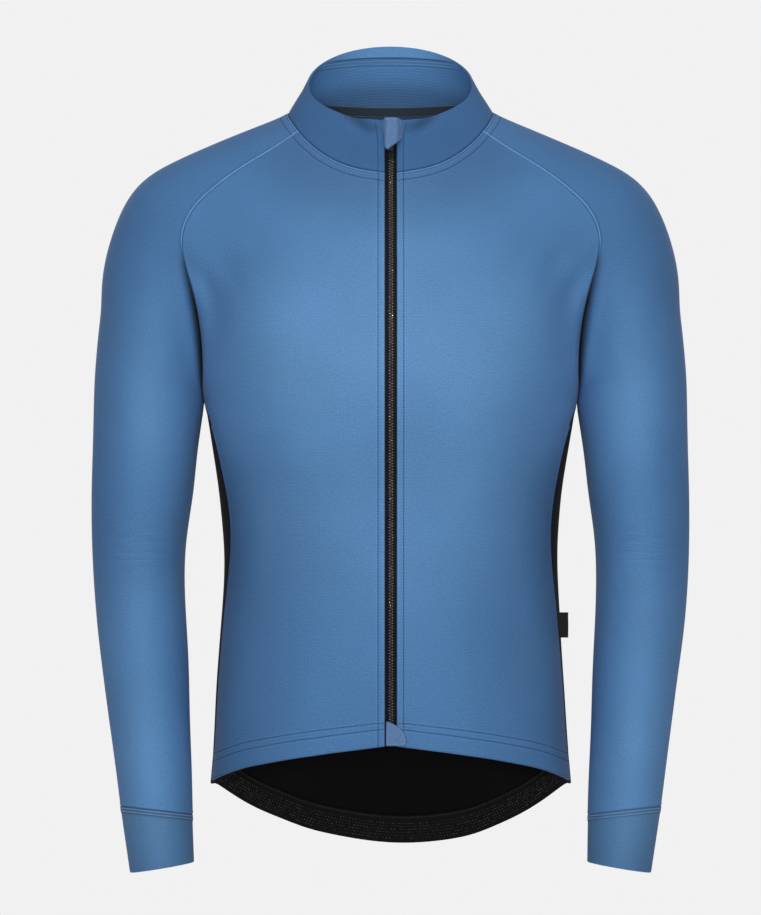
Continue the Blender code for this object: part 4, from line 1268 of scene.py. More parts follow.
def fading(distance, start, end):
    """One up to start, falling to nothing at end."""
    return 1 - smooth_step(start, end, distance)


def hem_lines(sheet):
    """How far each row of hem stitches is from the front's lower edge, column by column."""
    place = np.linspace(0, 1, sheet.points.shape[1])
    return [first + (last - first) * place for first, last in HEM_STITCHES]


def front_shade(sheet):
    """Painted light and shade on the front: painted shade in the seams' grooves, the sleeve's fold and along
    the hem's edge, painted highlights on the rolled zip edge and beside the stitches, and soft painted shade
    low down at the side and under the collar.
    """
    above_armpit = sheet.points[..., 2] > ARMPIT[2]
    fold = beside_sleeve_fold(sheet) * above_armpit
    shade = drawn_shade(sheet.left, ZIP_STITCH) + mark(sheet.left, 1.4, 0.20, 0.8)
    shade += neck_shade(sheet.top)
    shade += mark(sheet.right, 0, -0.45, 0.55) + fold * mark(sheet.right, 0, -0.3, 1.6)
    # Painted shade low down towards the side, and under the collar.
    low = smooth_step(230, 380, -sheet.points[..., 2])
    shade -= low * (0.20 * fading(sheet.right, 0, 60) + 0.14 * fading(sheet.right, 40, 150))
    shade -= 0.19 * fading(sheet.top, 20, 80)
    for line in hem_lines(sheet):
        shade += drawn_shade(sheet.bottom, line)
    return shade + mark(sheet.bottom, 0, -0.25, 0.9)


def deep_shade(sheet, edge, fold):
    """Painted shadow in the fold between the sleeve and the front, darkest low down, where it turns into the
    armpit.
    """
    low = smooth_step(120, 185, -sheet.points[..., 2])
    return fold * (mark(edge, 0, -0.40, 2.5) + low * mark(edge, 3.2, -0.62, 4.2))


def sleeve_shade(sheet):
    """Painted light and shade on the sleeve: that of the neck seam, a painted highlight along the raglan
    seam's ridge with painted shade beside it, and painted shadow in the deep fold beside the front.
    """
    fold = beside_sleeve_fold(sheet)
    shade = neck_shade(sheet.bottom)
    height = sheet.points[..., 2]
    near = smooth_step(60 - ARMPIT[2], -ARMPIT[2], -height)
    for edge in (sheet.left, sheet.right):
        # A painted highlight along the raglan seam's ridge, and painted shade just beside it.
        ridge = mark(edge, 0.8, 1.0, 0.5) + mark(edge, 2.6, -0.22, 0.8)
        shade += (1 - fold) * ridge * (height > ARMPIT[2])
        # Painted shadow in the deep fold beside the front.
        shade += near * (deep_shade(sheet, edge, fold) + fold * mark(edge, 0, -0.2, 8.0))
    return shade


def stitched(distance, lines, depth, width):
    """The channels that rows of stitches press into the cloth."""
    return sum(groove(distance, line, depth, width) for line in lines)


def front_profile(sheet):
    profile = rolled(sheet.left, 1.5, 1.7) + groove(sheet.left, ZIP_STITCH, 0.45, 0.7)
    profile += 0.35 * fading(sheet.left, ZIP_STITCH - 0.6, ZIP_STITCH + 1.4)
    profile += seam_edge(sheet.top) + raised_seam(sheet.right) + rolled(sheet.bottom, 0.9, 1.6)
    profile += stitched(sheet.top, NECK_STITCHES, 0.4, 0.7)
    rows = hem_lines(sheet)
    band = 0.4 * fading(sheet.bottom, rows[-1] + 0.4, rows[-1] + 1.8)
    return profile + stitched(sheet.bottom, rows, 0.4, 0.8) + band


RIDGE_ZIGZAG = {"pitch": 2.0, "width": 1.2, "length": 1.6, "radius": 0.2}
WEB_ZIGZAG = {"pitch": 3.0, "width": 1.5, "length": 1.8, "radius": 0.2}
GRIPPER_ZIGZAG = {"pitch": 3.2, "width": 2.6, "length": 3.0, "radius": 0.26}
CUFF_STITCH_SIZES = {"pitch": 2.5, "length": 1.5, "radius": 0.26, "sink": 0.0}
INSIDE_STITCH_SIZES = {"pitch": 3.0, "length": 2.2, "radius": 0.3}


def zigzag(line, out, pitch, width, length, radius):
    """Slanted stitches to and fro across a line."""
    places, ways = frames_along(line, out, pitch / 2)
    turn = np.where(np.arange(len(places)) % 2 == 0, 1, -1) * math.atan2(width, pitch / 2)
    x = ways[:, 0] * np.cos(turn)[:, None] + ways[:, 1] * np.sin(turn)[:, None]
    y = -ways[:, 0] * np.sin(turn)[:, None] + ways[:, 1] * np.cos(turn)[:, None]
    return stamped(stitch_shape(length, radius), places, np.stack((x, y, ways[:, 2]), 1))


def sewn(name, lines, look, slot, trim=0, pitch=2.8, length=1.9, radius=0.47, sink=0.1):
    """Stitches along lines of points and ways out, without the first and last few points of each."""
    kept, shape = slice(trim, -trim or None), stitch_shape(length, radius)
    places = [frames_along((line - out * sink)[kept], out[kept], pitch) for line, out in lines]
    parts = [stamped(shape, *place) for place in places]
    return mesh_piece(name, *merged(parts), look, slot)


def make_front(side, sheet):
    at_ease(sheet, front_profile(sheet))
    sheet.shade = front_shade(sheet)
    made = shell_piece(f"front_{side}_cloth", sheet, CLOTH, blue, "blue_softshell")
    rows = [sheet.line("left", ZIP_STITCH)]
    rows += [sheet.line("top", distance) for distance in NECK_STITCHES]
    rows += [sheet.line("bottom", line) for line in hem_lines(sheet)]
    stitches = sewn(f"front_{side}_stitches", rows, blue_thread, "blue_softshell", trim=1)
    declare(made, f"front_{side}")


def make_back(sheet):
    profile = raised_seam(sheet.left) + raised_seam(sheet.right) + seam_edge(sheet.top)
    profile += rolled(sheet.bottom, 0.8, 1.4) + groove(sheet.bottom, BACK_HEM_STITCH, 0.35, 0.9)
    profile += stitched(sheet.top, NECK_STITCHES, 0.3, 0.7)
    at_ease(sheet, profile, groove(sheet.bottom, BACK_HEM_STITCH, -0.35, 0.9))
    sheet.shade = sheet.shade + BACK_FACE_TONE
    made = shell_piece("back_cloth", sheet, CLOTH, black, "black_softshell")
    rows = [sheet.line("top", distance) for distance in NECK_STITCHES]
    rows.append(sheet.line("bottom", BACK_HEM_STITCH))
    stitches = sewn("back_stitches", rows, black_thread, "black_softshell", trim=1)
    declare(made, "back")


def make_sleeve(side, sheet):
    profile = raised_seam(sheet.left) + raised_seam(sheet.right) + seam_edge(sheet.bottom)
    profile += raised_seam(sheet.top, 0.3) + stitched(sheet.bottom, NECK_STITCHES, 0.4, 0.7)
    at_ease(sheet, profile)
    sheet.shade = sleeve_shade(sheet)
    made = shell_piece(f"sleeve_{side}_cloth", sheet, CLOTH, blue_sleeve, "blue_softshell")
    rows = [sheet.line("bottom", distance) for distance in NECK_STITCHES]
    stitches = sewn(f"sleeve_{side}_stitches", rows, blue_thread, "blue_softshell", trim=1)
    ridge = []
    for edge, lowest in RIDGE_ENDS:
        line, out = sheet.line(edge, RIDGE_STITCH)
        last = np.abs(line[:, 2] - lowest).argmin()
        ridge.append(zigzag(line[2:last], out[2:last], **RIDGE_ZIGZAG))
    ridge = mesh_piece(f"sleeve_{side}_seam_thread", *merged(ridge), pale_thread, "blue_softshell")
    declare(made, f"sleeve_{side}")


def ring(line, out):
    """A closed line, with its first point again at its end."""
    return np.vstack((line, line[:1])), np.vstack((out, out[:1]))


def make_cuff(side, sheet):
    """The cuff, with the flat cover seam that joins it to the sleeve: three rows and pale webs between."""
    profile = rolled(sheet.bottom, 0.5, 0.6) + rolled(sheet.top, 0.9, 1.6)
    profile += 0.45 * fading(sheet.bottom, CUFF_STITCHES[-1] + 0.3, CUFF_STITCHES[-1] + 1.3)
    at_ease(sheet, profile + stitched(sheet.bottom, CUFF_STITCHES, 0.3, 0.5))
    sheet.shade = sum(mark(sheet.bottom, distance, CUFF_SEAM_PAINTED_SHADE[side], 0.6) for distance in CUFF_STITCHES)
    made = shell_piece(f"cuff_{side}_cloth", sheet, CLOTH, blue_cuff, "blue_softshell")
    rows = [ring(*sheet.line("bottom", distance)) for distance in CUFF_STITCHES]
    stitches = sewn(f"cuff_{side}_stitches", rows, blue_thread, "blue_softshell", **CUFF_STITCH_SIZES)
    middles = [(first + last) / 2 for first, last in zip(CUFF_STITCHES, CUFF_STITCHES[1:])]
    webs = [zigzag(*ring(*sheet.line("bottom", middle)), **WEB_ZIGZAG) for middle in middles]
    web = mesh_piece(f"cuff_{side}_cover_thread", *merged(webs), cover_thread, "blue_softshell")
    declare(made, f"cuff_{side}")


# ---- the collar and what lies inside it ----

COLLAR_DENTS = (
    (((44, 0, -3), (34, 0, -11.5), (26, 0, -17.5), (17, 0, -23)), 5.2, 2.6),
    (((-44, 0, -3), (-32, 0, -11.5), (-24, 0, -18), (-15, 0, -23.5)), 5.4, 2.6),
)
# How deep below the outer face a tape or facing on the inside begins
LINING_DEPTH = COLLAR_CLOTH + LAY_GAP
COLLAR_STITCH, STITCH_BEND, STITCH_BEND_DEPTH = 6.3, 3.0, 30.0
# The inside's tone near the top edge (the brushed face's lift, with painted light), how much painted shade
# takes off lower down and between which depths, and the painted light towards the sides
FLEECE_AND_LIGHT_TONE, PAINTED_SHADE_FALL, PAINTED_SHADE_FALLS, PAINTED_SIDE_LIGHT = 1.24, 0.50, (24, 48), 0.12
FACING_STITCHES = (2.4, 5.4)
FACING_SHARES = (0, 0.03, 0.08, 0.16, 0.3, 0.48, 0.65, 0.78, 0.87, 0.93, 0.97, 1)
FACING_TRIM = 4
RIB_PITCH, RIB_DEPTH, RIBS_BELOW_FACING = 2.8, 0.16, (7.0, 8.5)
BED_DROP = 7.4
COLLAR_STOPS = (0, 0.2, 0.5, 0.9, 1.5, 2.4, 3.8, 5.4, 6.0, 6.5, 7.0, 8.0)
NECK_TAPE_LINES, NECK_TAPE_COLUMNS = 15, 640
NECK_TAPE_RIB_PITCH, NECK_TAPE_RIB_DEPTH, NECK_TAPE_RIB_PAINTED_LIGHT = 2.7, 0.14, 5.5
GRIPPER_ENDS = np.s_[9:-9]
DOT_ROWS, DOT_PITCH, DOT_FIRST_ROW, DOT_ROW_PITCH, DOT_SIDES = 6, 3.0, 3.6, 2.9, 8
# The dots' radius and rise, and how often each comes: with radius 0 there is none
DOTS = ((0.42, 0.25), (0.62, 0.42), (0.8, 0.6))
DOT_SIZES, DOT_SHARES, DOT_SEED = (0.0, 0.42, 0.62, 0.8), (0.12, 0.4, 0.33, 0.15), 2


def collar_stitch_line(sheet):
    """The distance of the zip's topstitch from the zip edge: it bends away from the zip near the top."""
    rise = np.clip(1 - sheet.top[:, 0] / STITCH_BEND_DEPTH, 0, 1)
    return COLLAR_STITCH + STITCH_BEND * rise**2


def make_collar(sheet):
    """The collar's band: stitched beside the zip, dented in front and ribbed inside, with painted shade in
    its dents and grooves, painted highlights on its rolled zip edges, and a lighter brushed inside with
    painted light and shade on it.
    """
    stitch = collar_stitch_line(sheet)[:, None]
    profile = seam_edge(sheet.bottom) + rolled(sheet.top, 1.3, 1.8)
    flat = sheet.points * (1, 0, 1)
    dents = sum(crease(flat, path, width, depth, 0.15) for path, width, depth in COLLAR_DENTS)
    dents = np.where(sheet.points[..., 1] < 0, dents, 0)
    # Painted shade in the dents and in the neck seam's groove.
    shade = 0.16 * dents + mark(sheet.bottom, 0, -0.4, 0.9)
    for edge in (sheet.left, sheet.right):
        profile += rolled(edge, 1.4, 1.7) + groove(edge, stitch, 0.4, 0.7)
        profile += 0.3 * fading(edge, stitch - 0.4, stitch + 1.4)
        # Painted shade and highlights along the stitches, and a painted highlight on the rolled edge by the
        # zip.
        shade += drawn_shade(edge, stitch) + mark(edge, 1.4, 0.15, 0.8)
    angle = angles_round(sheet)
    behind = np.abs(angle - 180) < FACING_SPREAD
    drop = sheet.top - facing_depth(angle) * behind
    ribs = RIB_DEPTH * np.sin(2 * math.pi * sheet.top / RIB_PITCH) * smooth_step(*RIBS_BELOW_FACING, drop)
    bed = mark(drop, BED_DROP, 0.5, 0.7) * behind
    sheet.height = profile + dents + 0.5 * WAVE_HEIGHT * waves(sheet.points, 60, 8)
    sheet.inner_height = ribs + bed + dents
    sheet.shade = shade
    # Inside: the brushed face's tone with painted light and shade, painted shade and highlight on the ribs,
    # and a darker line along the bed.
    sheet.inner_shade = fleece_and_painted_light(sheet, angle) - 1 + 0.6 * ribs + mark(drop, BED_DROP, -0.25, 0.8) * behind
    made = shell_piece("collar_cloth", sheet, COLLAR_CLOTH, blue_collar, "blue_softshell")
    rows = [sheet.line(edge, stitch[:, 0]) for edge in ("left", "right")]
    inside = [inner_line(sheet, facing_depth(angle) + gap, behind) for gap in FACING_STITCHES]
    stitches = sewn("collar_stitches", rows, blue_thread, "blue_softshell", trim=1)
    light = sewn("collar_inside_stitches", inside, pale_thread, "blue_softshell", **INSIDE_STITCH_SIZES)
    declare(made, "collar")


def fleece_and_painted_light(sheet, angle):
    """The lighter brushed inside, with painted light brightest near the top edge and towards the sides, and
    painted shade lower down.
    """
    sideways = np.clip(angle - 180, -50, 50) / 43
    down = FLEECE_AND_LIGHT_TONE - PAINTED_SHADE_FALL * smooth_step(*PAINTED_SHADE_FALLS, sheet.top)
    return down * (1 + PAINTED_SIDE_LIGHT * sideways**2)


def angles_round(sheet):
    """The angle of each column of the collar, in degrees, from the front round the wearer's left."""
    x, y = sheet.points[-1, :, 0], sheet.points[-1, :, 1]
    turn = np.arctan2(x / COLLAR_TOP_HALF_WIDTH, (COLLAR_TOP_MIDDLE - y) / COLLAR_TOP_DEPTH)
    return np.degrees(turn) % 360


def inner_line(sheet, distance, around):
    """A part of a line on the sheet's inner face, and the ways into the collar there."""
    line, out = sheet.line("top", distance)
    return (line - out * (COLLAR_CLOTH + 0.05))[around], -out[around]


def make_facing(sheet):
    """The collar's edge, turned in at the back as a crescent."""
    angle = angles_round(sheet)
    depth = facing_depth(angle) - EDGE_SETBACK
    rows = [smooth_line(sheet, "top", EDGE_SETBACK + share * depth) for share in FACING_SHARES]
    band = Sheet.band(rows, np.abs(angle - 180) < FACING_END)
    ends = rolled(np.minimum(band.left, band.right), 0.35, 0.8)
    band.height = rolled(band.top, 0.35, 0.8) + rolled(band.bottom, 0.4, 0.8) + ends
    band.inner_height = -rolled(band.top, 0.3, 0.8)
    # Painted shade along the facing's free edge.
    band.inner_shade = mark(band.top, 0, -0.4, 0.7)
    made = shell_piece("collar_facing_cloth", band, TAPE, blue_collar_in, "blue_softshell", LINING_DEPTH)
    line = inner_row(band, -3)
    stitches = sewn("collar_facing_stitches", [line], blue_thread, "blue_softshell", trim=FACING_TRIM)
    declare(made, "collar_facing")


def inner_row(band, row):
    """A row of a band that lies inside the collar: its points on the inner face, and the ways inwards."""
    return band.points[row] - band.out[row] * (LINING_DEPTH + TAPE), -band.out[row]


def smooth_line(sheet, edge, distance):
    """A line on the sheet's plain form, without its folds and grooves."""
    kept, sheet.height = sheet.height, np.zeros_like(sheet.height)
    line = sheet.line(edge, distance)
    sheet.height = kept
    return line


def make_neck_tape(sheet):
    """A ribbed tape round the inside of the neck seam."""
    steps = np.linspace(NECK_TAPE_LIFT, NECK_TAPE_LIFT + NECK_TAPE_WIDTH, NECK_TAPE_LINES)
    lines = [smooth_line(sheet, "bottom", step) for step in steps]
    foot = lines[0][0]
    angle = np.degrees(np.arctan2(foot[:, 0], NECK_MIDDLE - foot[:, 1]))
    coarse = Sheet.band(lines, np.abs(angle) > NECK_TAPE_START - 1.0)
    column = np.arange(coarse.points.shape[1])
    fine = np.linspace(0, column[-1], NECK_TAPE_COLUMNS)
    points, out = (
        np.stack([read_along(fine, column, row) for row in part]) for part in (coarse.points, coarse.out)
    )
    band = Sheet.of(points, unit(out))
    edge = np.minimum(band.bottom, band.top)
    ribs = np.sin(2 * math.pi * band.across / NECK_TAPE_RIB_PITCH) * smooth_step(0.8, 1.6, edge)
    ribs *= NECK_TAPE_RIB_DEPTH
    band.inner_height = ribs - rolled(edge, 0.35, 0.9)
    # Painted highlight on the ribs' crowns and painted shade between them.
    band.inner_shade = NECK_TAPE_RIB_PAINTED_LIGHT * ribs
    band.height = rolled(edge, 0.2, 0.9)
    made = shell_piece("neck_tape_cloth", band, TAPE, navy, "navy_tape", LINING_DEPTH)
    rows = [inner_row(band, row) for row in (1, -2)]
    stitches = sewn("neck_tape_stitches", rows, cover_thread, "navy_tape", trim=2, radius=0.34)
    declare(made, "neck_tape")


def make_gripper(sheet):
    """The elastic band inside the back hem, with rows of small rubber dots."""
    middle = np.linspace(3, GRIPPER_WIDTH - 2, 12)
    steps = np.r_[GRIPPER_LIFT, 1.3, 1.9, middle, GRIPPER_WIDTH - np.array((0.9, 0.3, 0))]
    band = Sheet.band([smooth_line(sheet, "bottom", step) for step in steps], GRIPPER_ENDS)
    band.inner_height = -rolled(band.edge_gap(), 0.35, 1.0) + 0.06 * np.sin(2 * math.pi * band.along / 3.2)
    made = shell_piece("hem_gripper_band", band, TAPE, elastic, "black_gripper", CLOTH + LAY_GAP)
    parts = []
    rng = np.random.default_rng(DOT_SEED)
    for row in range(DOT_ROWS):
        places, ways = frames_along(*gripper_line(band, DOT_FIRST_ROW + row * DOT_ROW_PITCH), DOT_PITCH)
        places = (places + ways[:, 0] * (DOT_PITCH / 2 * (row % 2)))[:-1]
        size = rng.choice(DOT_SIZES, len(places), p=DOT_SHARES)
        for radius, rise in DOTS:
            kept = size == radius
            parts.append(stamped(dome(radius, rise), places[kept], ways[:-1][kept]))
    dots = mesh_piece("hem_gripper_dots", *merged(parts), rubber, "black_gripper")
    rows = zigzag(*gripper_line(band, GRIPPER_WIDTH - 3.2), **GRIPPER_ZIGZAG)
    stitches = mesh_piece("hem_gripper_stitches", *rows, black_thread, "black_gripper")
    declare(made, "hem_gripper")


def gripper_line(band, distance):
    """A line on the gripper's inner face, and the ways inwards."""
    kept, band.height = band.height, band.inner_height - (CLOTH + LAY_GAP + TAPE)
    line, out = band.line("bottom", distance)
    band.height = kept
    return line, -out


def dome(radius, rise):
    """A low round dot."""
    turn = round_turns(DOT_SIDES)
    rings = []
    for r, z in ((radius, -0.1), (radius * 0.8, rise * 0.6), (radius * 0.35, rise)):
        rings.append(np.stack((r * np.cos(turn), r * np.sin(turn), np.full(DOT_SIDES, z)), 1))
    return template(rings, DOT_SIDES, foot=False)


# ---- the zip ----

TOOTH_PITCH, TOOTH_OUT, TOOTH_DROP = 2.6, 1.15, 0.75
# Half a tooth's size along the zip, across it and in depth, how much its head broadens, and its sides
TOOTH_ALONG, TOOTH_ACROSS, TOOTH_DEEP, TOOTH_HEAD, TOOTH_SIDES = 0.72, 1.45, 0.85, 0.14, 10
CHAIN_STOP = 12.0
TAPE_BEAD_PLACE, TAPE_BEAD = 2.2, 0.5
TAPE_STOPS = {"left": (0, 0.25, 0.6, 1.1), "right": (0, 0.3, 0.8), "bottom": (0, 0.6), "top": (0, 0.6)}


def soft(wave, power):
    return np.sign(wave) * np.abs(wave) ** power


def tooth():
    """One moulded tooth: a rounded block across the zip, with a broader head."""
    turn, rings = round_turns(TOOTH_SIDES), []
    for tilt in np.linspace(-math.pi / 2, math.pi / 2, 7)[1:-1]:
        level = soft(np.cos(tilt), 0.5)
        x, y = soft(np.cos(turn), 0.55) * level, soft(np.sin(turn), 0.55) * level
        deep = np.full(TOOTH_SIDES, TOOTH_DEEP * soft(np.sin(tilt), 0.6))
        rings.append(np.stack((TOOTH_ALONG * x * (1 + TOOTH_HEAD * y), TOOTH_ACROSS * y, deep), 1))
    return template(rings, TOOTH_SIDES)


def make_zip(tape_grid):
    """Both tapes, and the closed teeth between them."""
    base = Sheet(tape_grid, (9, 200), **TAPE_STOPS)
    for side in SIDES:
        tape = base.on(side)
        edge = np.minimum(tape.left, tape.right)
        tape.height = mark(tape.left, TAPE_BEAD_PLACE, TAPE_BEAD, 0.9) + rolled(edge, 0.3, 0.6)
        made = shell_piece(f"zip_tape_{side}_cloth", tape, TAPE, zip_tape, "black_tape", LINING_DEPTH)
        declare(made, f"zip_tape_{side}")
    line, ways = base.points[:, 0] * (0, 1, 1) + (ZIP_MIDDLE, 0, 0), unit(base.out[:, 0] * (0, 1, 1))
    length = run_lengths(line)
    chain = length < length[-1] - CHAIN_STOP
    parts = []
    for side in (-1, 1):
        places, axes = frames_along(line[chain], ways[chain], TOOTH_PITCH)
        places = places + axes[:, 0] * (TOOTH_PITCH / 4 * side) - axes[:, 2] * TOOTH_DROP
        places[:, 0] += side * TOOTH_OUT
        axes[:, 1] *= -side if axes[0, 1, 0] > 0 else side
        parts.append(stamped(tooth(), places, axes))
    teeth = mesh_piece("zip_teeth", *merged(parts), tooth_plastic, "black_plastic")
    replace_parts(teeth, "zip_chain")


# ---- the flaps, the slider and the label ----

FLAP_START, FLAP_GRID, FLAP_STOPS = 0.3, (24, 36), (0, 0.15, 0.35, 0.6, 1.0, 1.6)
LABEL_TAPE, LABEL_ROWS = 0.45, 24


def make_flap(node, edges, place, rise):
    """A flap over one end of the zip, as a folded sheet that lies on the piece beneath."""
    sheet = Sheet(flap(edges, place, FLAP_START, edges.rows[-1, 0], rise), FLAP_GRID, *[FLAP_STOPS] * 4)
    edge = sheet.edge_gap()
    sheet.height = rolled(edge, 0.45, 0.8) + 0.1 * waves(sheet.points, 14, 3)
    # Painted shade along the flap's edges, and a faint painted highlight just inside them.
    sheet.shade = mark(edge, 0, -0.55, 0.6) + mark(edge, 1.6, 0.10, 0.8)
    made = shell_piece(f"{node}_cloth", sheet, FLAP, periwinkle, "periwinkle_flap", -FLAP_GAP - FLAP)
    declare(made, node)


def rounded_plate(name, outline, thickness, bevel, body, place, turn):
    """A plate with soft edges: the outline is in the plate's own plane, in millimetres."""
    rings = [[(x, depth, y) for x, y in outline] for depth in (-thickness / 2, thickness / 2)]
    points, faces = template(rings, len(outline))
    bm = bmesh.new()
    corners = [bm.verts.new(point) for point in points * MM]
    for face in faces:
        bm.faces.new([corners[i] for i in face])
    bmesh.ops.recalc_face_normals(bm, faces=bm.faces[:])
    mesh = mesh_from(name, bm, plastic)
    mesh.shade_smooth()
    made = add_object(name, mesh)
    made.location, made.rotation_euler = place, turn
    soften = made.modifiers.new("soft edges", "BEVEL")
    soften.width, soften.segments, soften.limit_method = bevel * MM, 3, "ANGLE"
    soften.angle_limit = math.radians(40)
    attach(made, body)
    return made


def arc(x, y, radius, start, end, steps=6):
    """Points of a round corner about x and y, between two angles in degrees."""
    turns = [math.radians(start + (end - start) * i / steps) for i in range(steps + 1)]
    return [(x + radius * math.cos(turn), y + radius * math.sin(turn)) for turn in turns]


def joined(name, pieces, body):
    """Several parts of one moulding as a single piece."""
    bpy.context.view_layer.update()
    layer = bpy.context.evaluated_depsgraph_get()
    bm = bmesh.new()
    for piece in pieces:
        mesh = piece.evaluated_get(layer).to_mesh()
        mesh.transform(piece.matrix_world)
        bm.from_mesh(mesh)
    mesh = mesh_from(name, bm, plastic)
    mesh.shade_smooth()
    mesh.set_sharp_from_angle(angle=PLASTIC_SHARP)
    for piece in pieces:
        bpy.data.objects.remove(piece)
    return add_piece(name, mesh, body)


def both_sides(right):
    """An outline from its right half, mirrored to the left."""
    return right + [(-x, y) for x, y in right[::-1]]


# The outlines of the slider's plates and ears, and of the pull and the rib on it
SLIDER_WING = arc(2.9, 1.4, 1.3, 0, 90) + arc(-2.9, 1.4, 1.3, 90, 180)
SLIDER_WING += arc(-1.9, -7.0, 1.4, 180, 270) + arc(1.9, -7.0, 1.4, 270, 360)
SLIDER_EAR = [(-0.8, 0.9), (-0.5, 1.5), (0.5, 1.5), (0.8, 0.9), (0.8, -1.2), (-0.8, -1.2)]
PULL_ROUND = 1.6
PULL_OUTLINE = both_sides(
    [(1.9, 1.2), (2.0, -3.0), (PULL_HALF_WIDTH, -5.2)]
    + arc(PULL_HALF_WIDTH - PULL_ROUND, PULL_ROUND - PULL_LENGTH, PULL_ROUND, 0, -90)
)
PULL_RIB = both_sides([(1.4, -8.0)] + arc(0.5, -21.0, 0.9, 0, -90))


def make_slider(collar_grid):
    """The slider at the top of the zip, with its bridge, and the pull that hangs from it."""
    top, below = collar_grid[0][-1, 0], collar_grid[0][-2, 0]
    down = unit(below - top)
    lean = math.atan2(-down[1], -down[2])
    out = np.array((0, -math.cos(lean), math.sin(lean)))
    pivot = Vector(((top + down * PIVOT_DROP) * (0, 1, 1) + out * PIVOT_PROUD) * MM)
    tilted = Matrix.Translation(pivot) @ Matrix.Rotation(-lean, 4, "X")

    def plate(name, outline, thickness, bevel, x, y, body="jacket", spin=0.0):
        return rounded_plate(
            name, outline, thickness, bevel, body, tilted @ Vector((x * MM, y * MM, 0)), (-lean, 0, spin)
        )

    parts = [plate("front", SLIDER_WING, 1.3, 0.35, 0, 1.75), plate("rear", SLIDER_WING, 1.1, 0.35, 0, 4.3)]
    parts.append(plate("post", arc(0, 0.2, 1.0, 0, 360, 12)[:-1], 2.6, 0.1, 0, 3.0))
    parts += [plate("ear", SLIDER_EAR, 1.0, 0.25, side * 2.9, 0.2, spin=math.pi / 2) for side in (-1, 1)]
    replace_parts(joined("zip_slider_body", parts, "jacket"), "zip_slider")
    tab = plate("plate", PULL_OUTLINE, PULL_THICKNESS, 0.3, 0, 0, body="zip_pull")
    rib = plate("rib", PULL_RIB, 0.5, 0.2, 0, -PULL_THICKNESS / 2 - 0.1, body="zip_pull")
    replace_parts(joined("zip_pull_tab", [tab, rib], "zip_pull"), "zip_pull")


def make_label():
    """A folded loop of woven tape in the side seam."""
    low, high = (np.array(corner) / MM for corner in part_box("side_label"))
    half = (high[1] - low[1]) / 2
    reach = high[0] - half
    straight = np.linspace(low[0], reach, 10)
    turns = np.linspace(-math.pi / 2, math.pi / 2, 13)
    path = [(x, -half) for x in straight[:-1]]
    path += [(reach + half * math.cos(turn), half * math.sin(turn)) for turn in turns]
    path = np.array(path + [(x, half) for x in straight[-2::-1]])
    rise = np.linspace(low[2], high[2], LABEL_ROWS)[:, None]
    across = path + (0, (low[1] + high[1]) / 2)
    points = np.stack(np.broadcast_arrays(*across.T, rise), -1)
    way = np.gradient(path, axis=0)
    out = unit(np.stack((way[:, 1], -way[:, 0], np.zeros(len(path))), 1))
    sheet = Sheet.of(points, np.broadcast_to(out, points.shape))
    sheet.height = 0.05 * waves(points, 9, 4)
    made = shell_piece("side_label_loop", sheet, LABEL_TAPE, label_tape, "black_tape")
    declare(made, "side_label")


# ---- the scene ----

CAMERA_DISTANCE, CAMERA_HEIGHT, CAMERA_SIDE = 3.3, -0.324, -0.0094
VIEW_HALF_HEIGHT = 0.43
SENSOR = 36.0
FLOOR_HEIGHT, FLOOR_REACH, FLOOR_SIDES = -1.15, 2.9, 96
SURROUND_REACH = 14.0
BACKDROP = 0.88
WORLD_STRENGTH, WORLD_COLOUR = 0.287, (1.0, 0.93, 0.98)
LIGHT_TARGET = (0, 0, -0.32)
# The soft panel above: place, width and depth, and power.
TOP_PANEL = ((0, -0.8, 2.6), (2.0, 1.2), 26)
# The soft panels in front and behind, one on each side: place, side length and power.
PANELS = (
    ("key", (0.29, -3.29, -0.32), 0.5, 14),
    ("raised", (0.43, -3.07, 0.81), 0.8, 6.2),
    ("rear", (1.35, 2.89, 0.53), 1.2, 7),
)
POOL_SIDE, POOL_DISTANCE, POOL_RISE, POOL_DEPTH = 1.0, 3.15, 0.2, -0.1
POOL_COLOUR, POOL_SOFTNESS = (1.0, 0.77, 0.58), 0.03
# The brighter places on each half of the jacket: how far out, how high, how wide and how bright.
POOLS = (
    ("chest", 0.085, -0.17, 0.15, 26),
    ("breastbone", 0.03, -0.11, 0.08, 52),
    ("breast", 0.065, -0.205, 0.11, 80),
    ("ribs", 0.05, -0.24, 0.10, 50),
    ("waist", 0.035, -0.30, 0.19, 19),
    ("belly", 0.03, -0.38, 0.12, 32),
    ("low_belly", 0.015, -0.48, 0.09, 14),
    ("upper_arm", 0.225, -0.22, 0.08, 58),
    ("inner_arm", 0.205, -0.28, 0.07, 128),
    ("forearm", 0.23, -0.52, 0.12, 110),
    ("wrist", 0.222, -0.64, 0.09, 115),
)
# Pools that reach one side from the other: place, target, reach and power.
CROSS_POOLS = (
    ("inner_elbow", (-1.2, -3.0, -0.3), (0.192, -0.02, -0.37), 0.14, 60),
    ("collar", (2.2, -2.4, 0.7), (-0.02, 0.03, 0.045), 0.09, 110),
)


def make_camera():
    data = bpy.data.cameras.new("camera")
    data.sensor_width = SENSOR
    data.lens = SENSOR / 2 * CAMERA_DISTANCE / VIEW_HALF_HEIGHT
    made = add_object("camera", data)
    made.location = (CAMERA_SIDE, -CAMERA_DISTANCE, CAMERA_HEIGHT)
    made.rotation_euler = (math.pi / 2, 0, 0)
    bpy.context.scene.camera = made


def add_light(name, kind, place, target, power):
    """A light at a place that faces the target, and the way between them."""
    data = bpy.data.lights.new(name, kind)
    data.energy = power
    made = add_object(name, data)
    made.location = place
    made.visible_camera = False
    way = Vector(target) - Vector(place)
    made.rotation_euler = way.to_track_quat("-Z", "Y").to_euler()
    return data, way


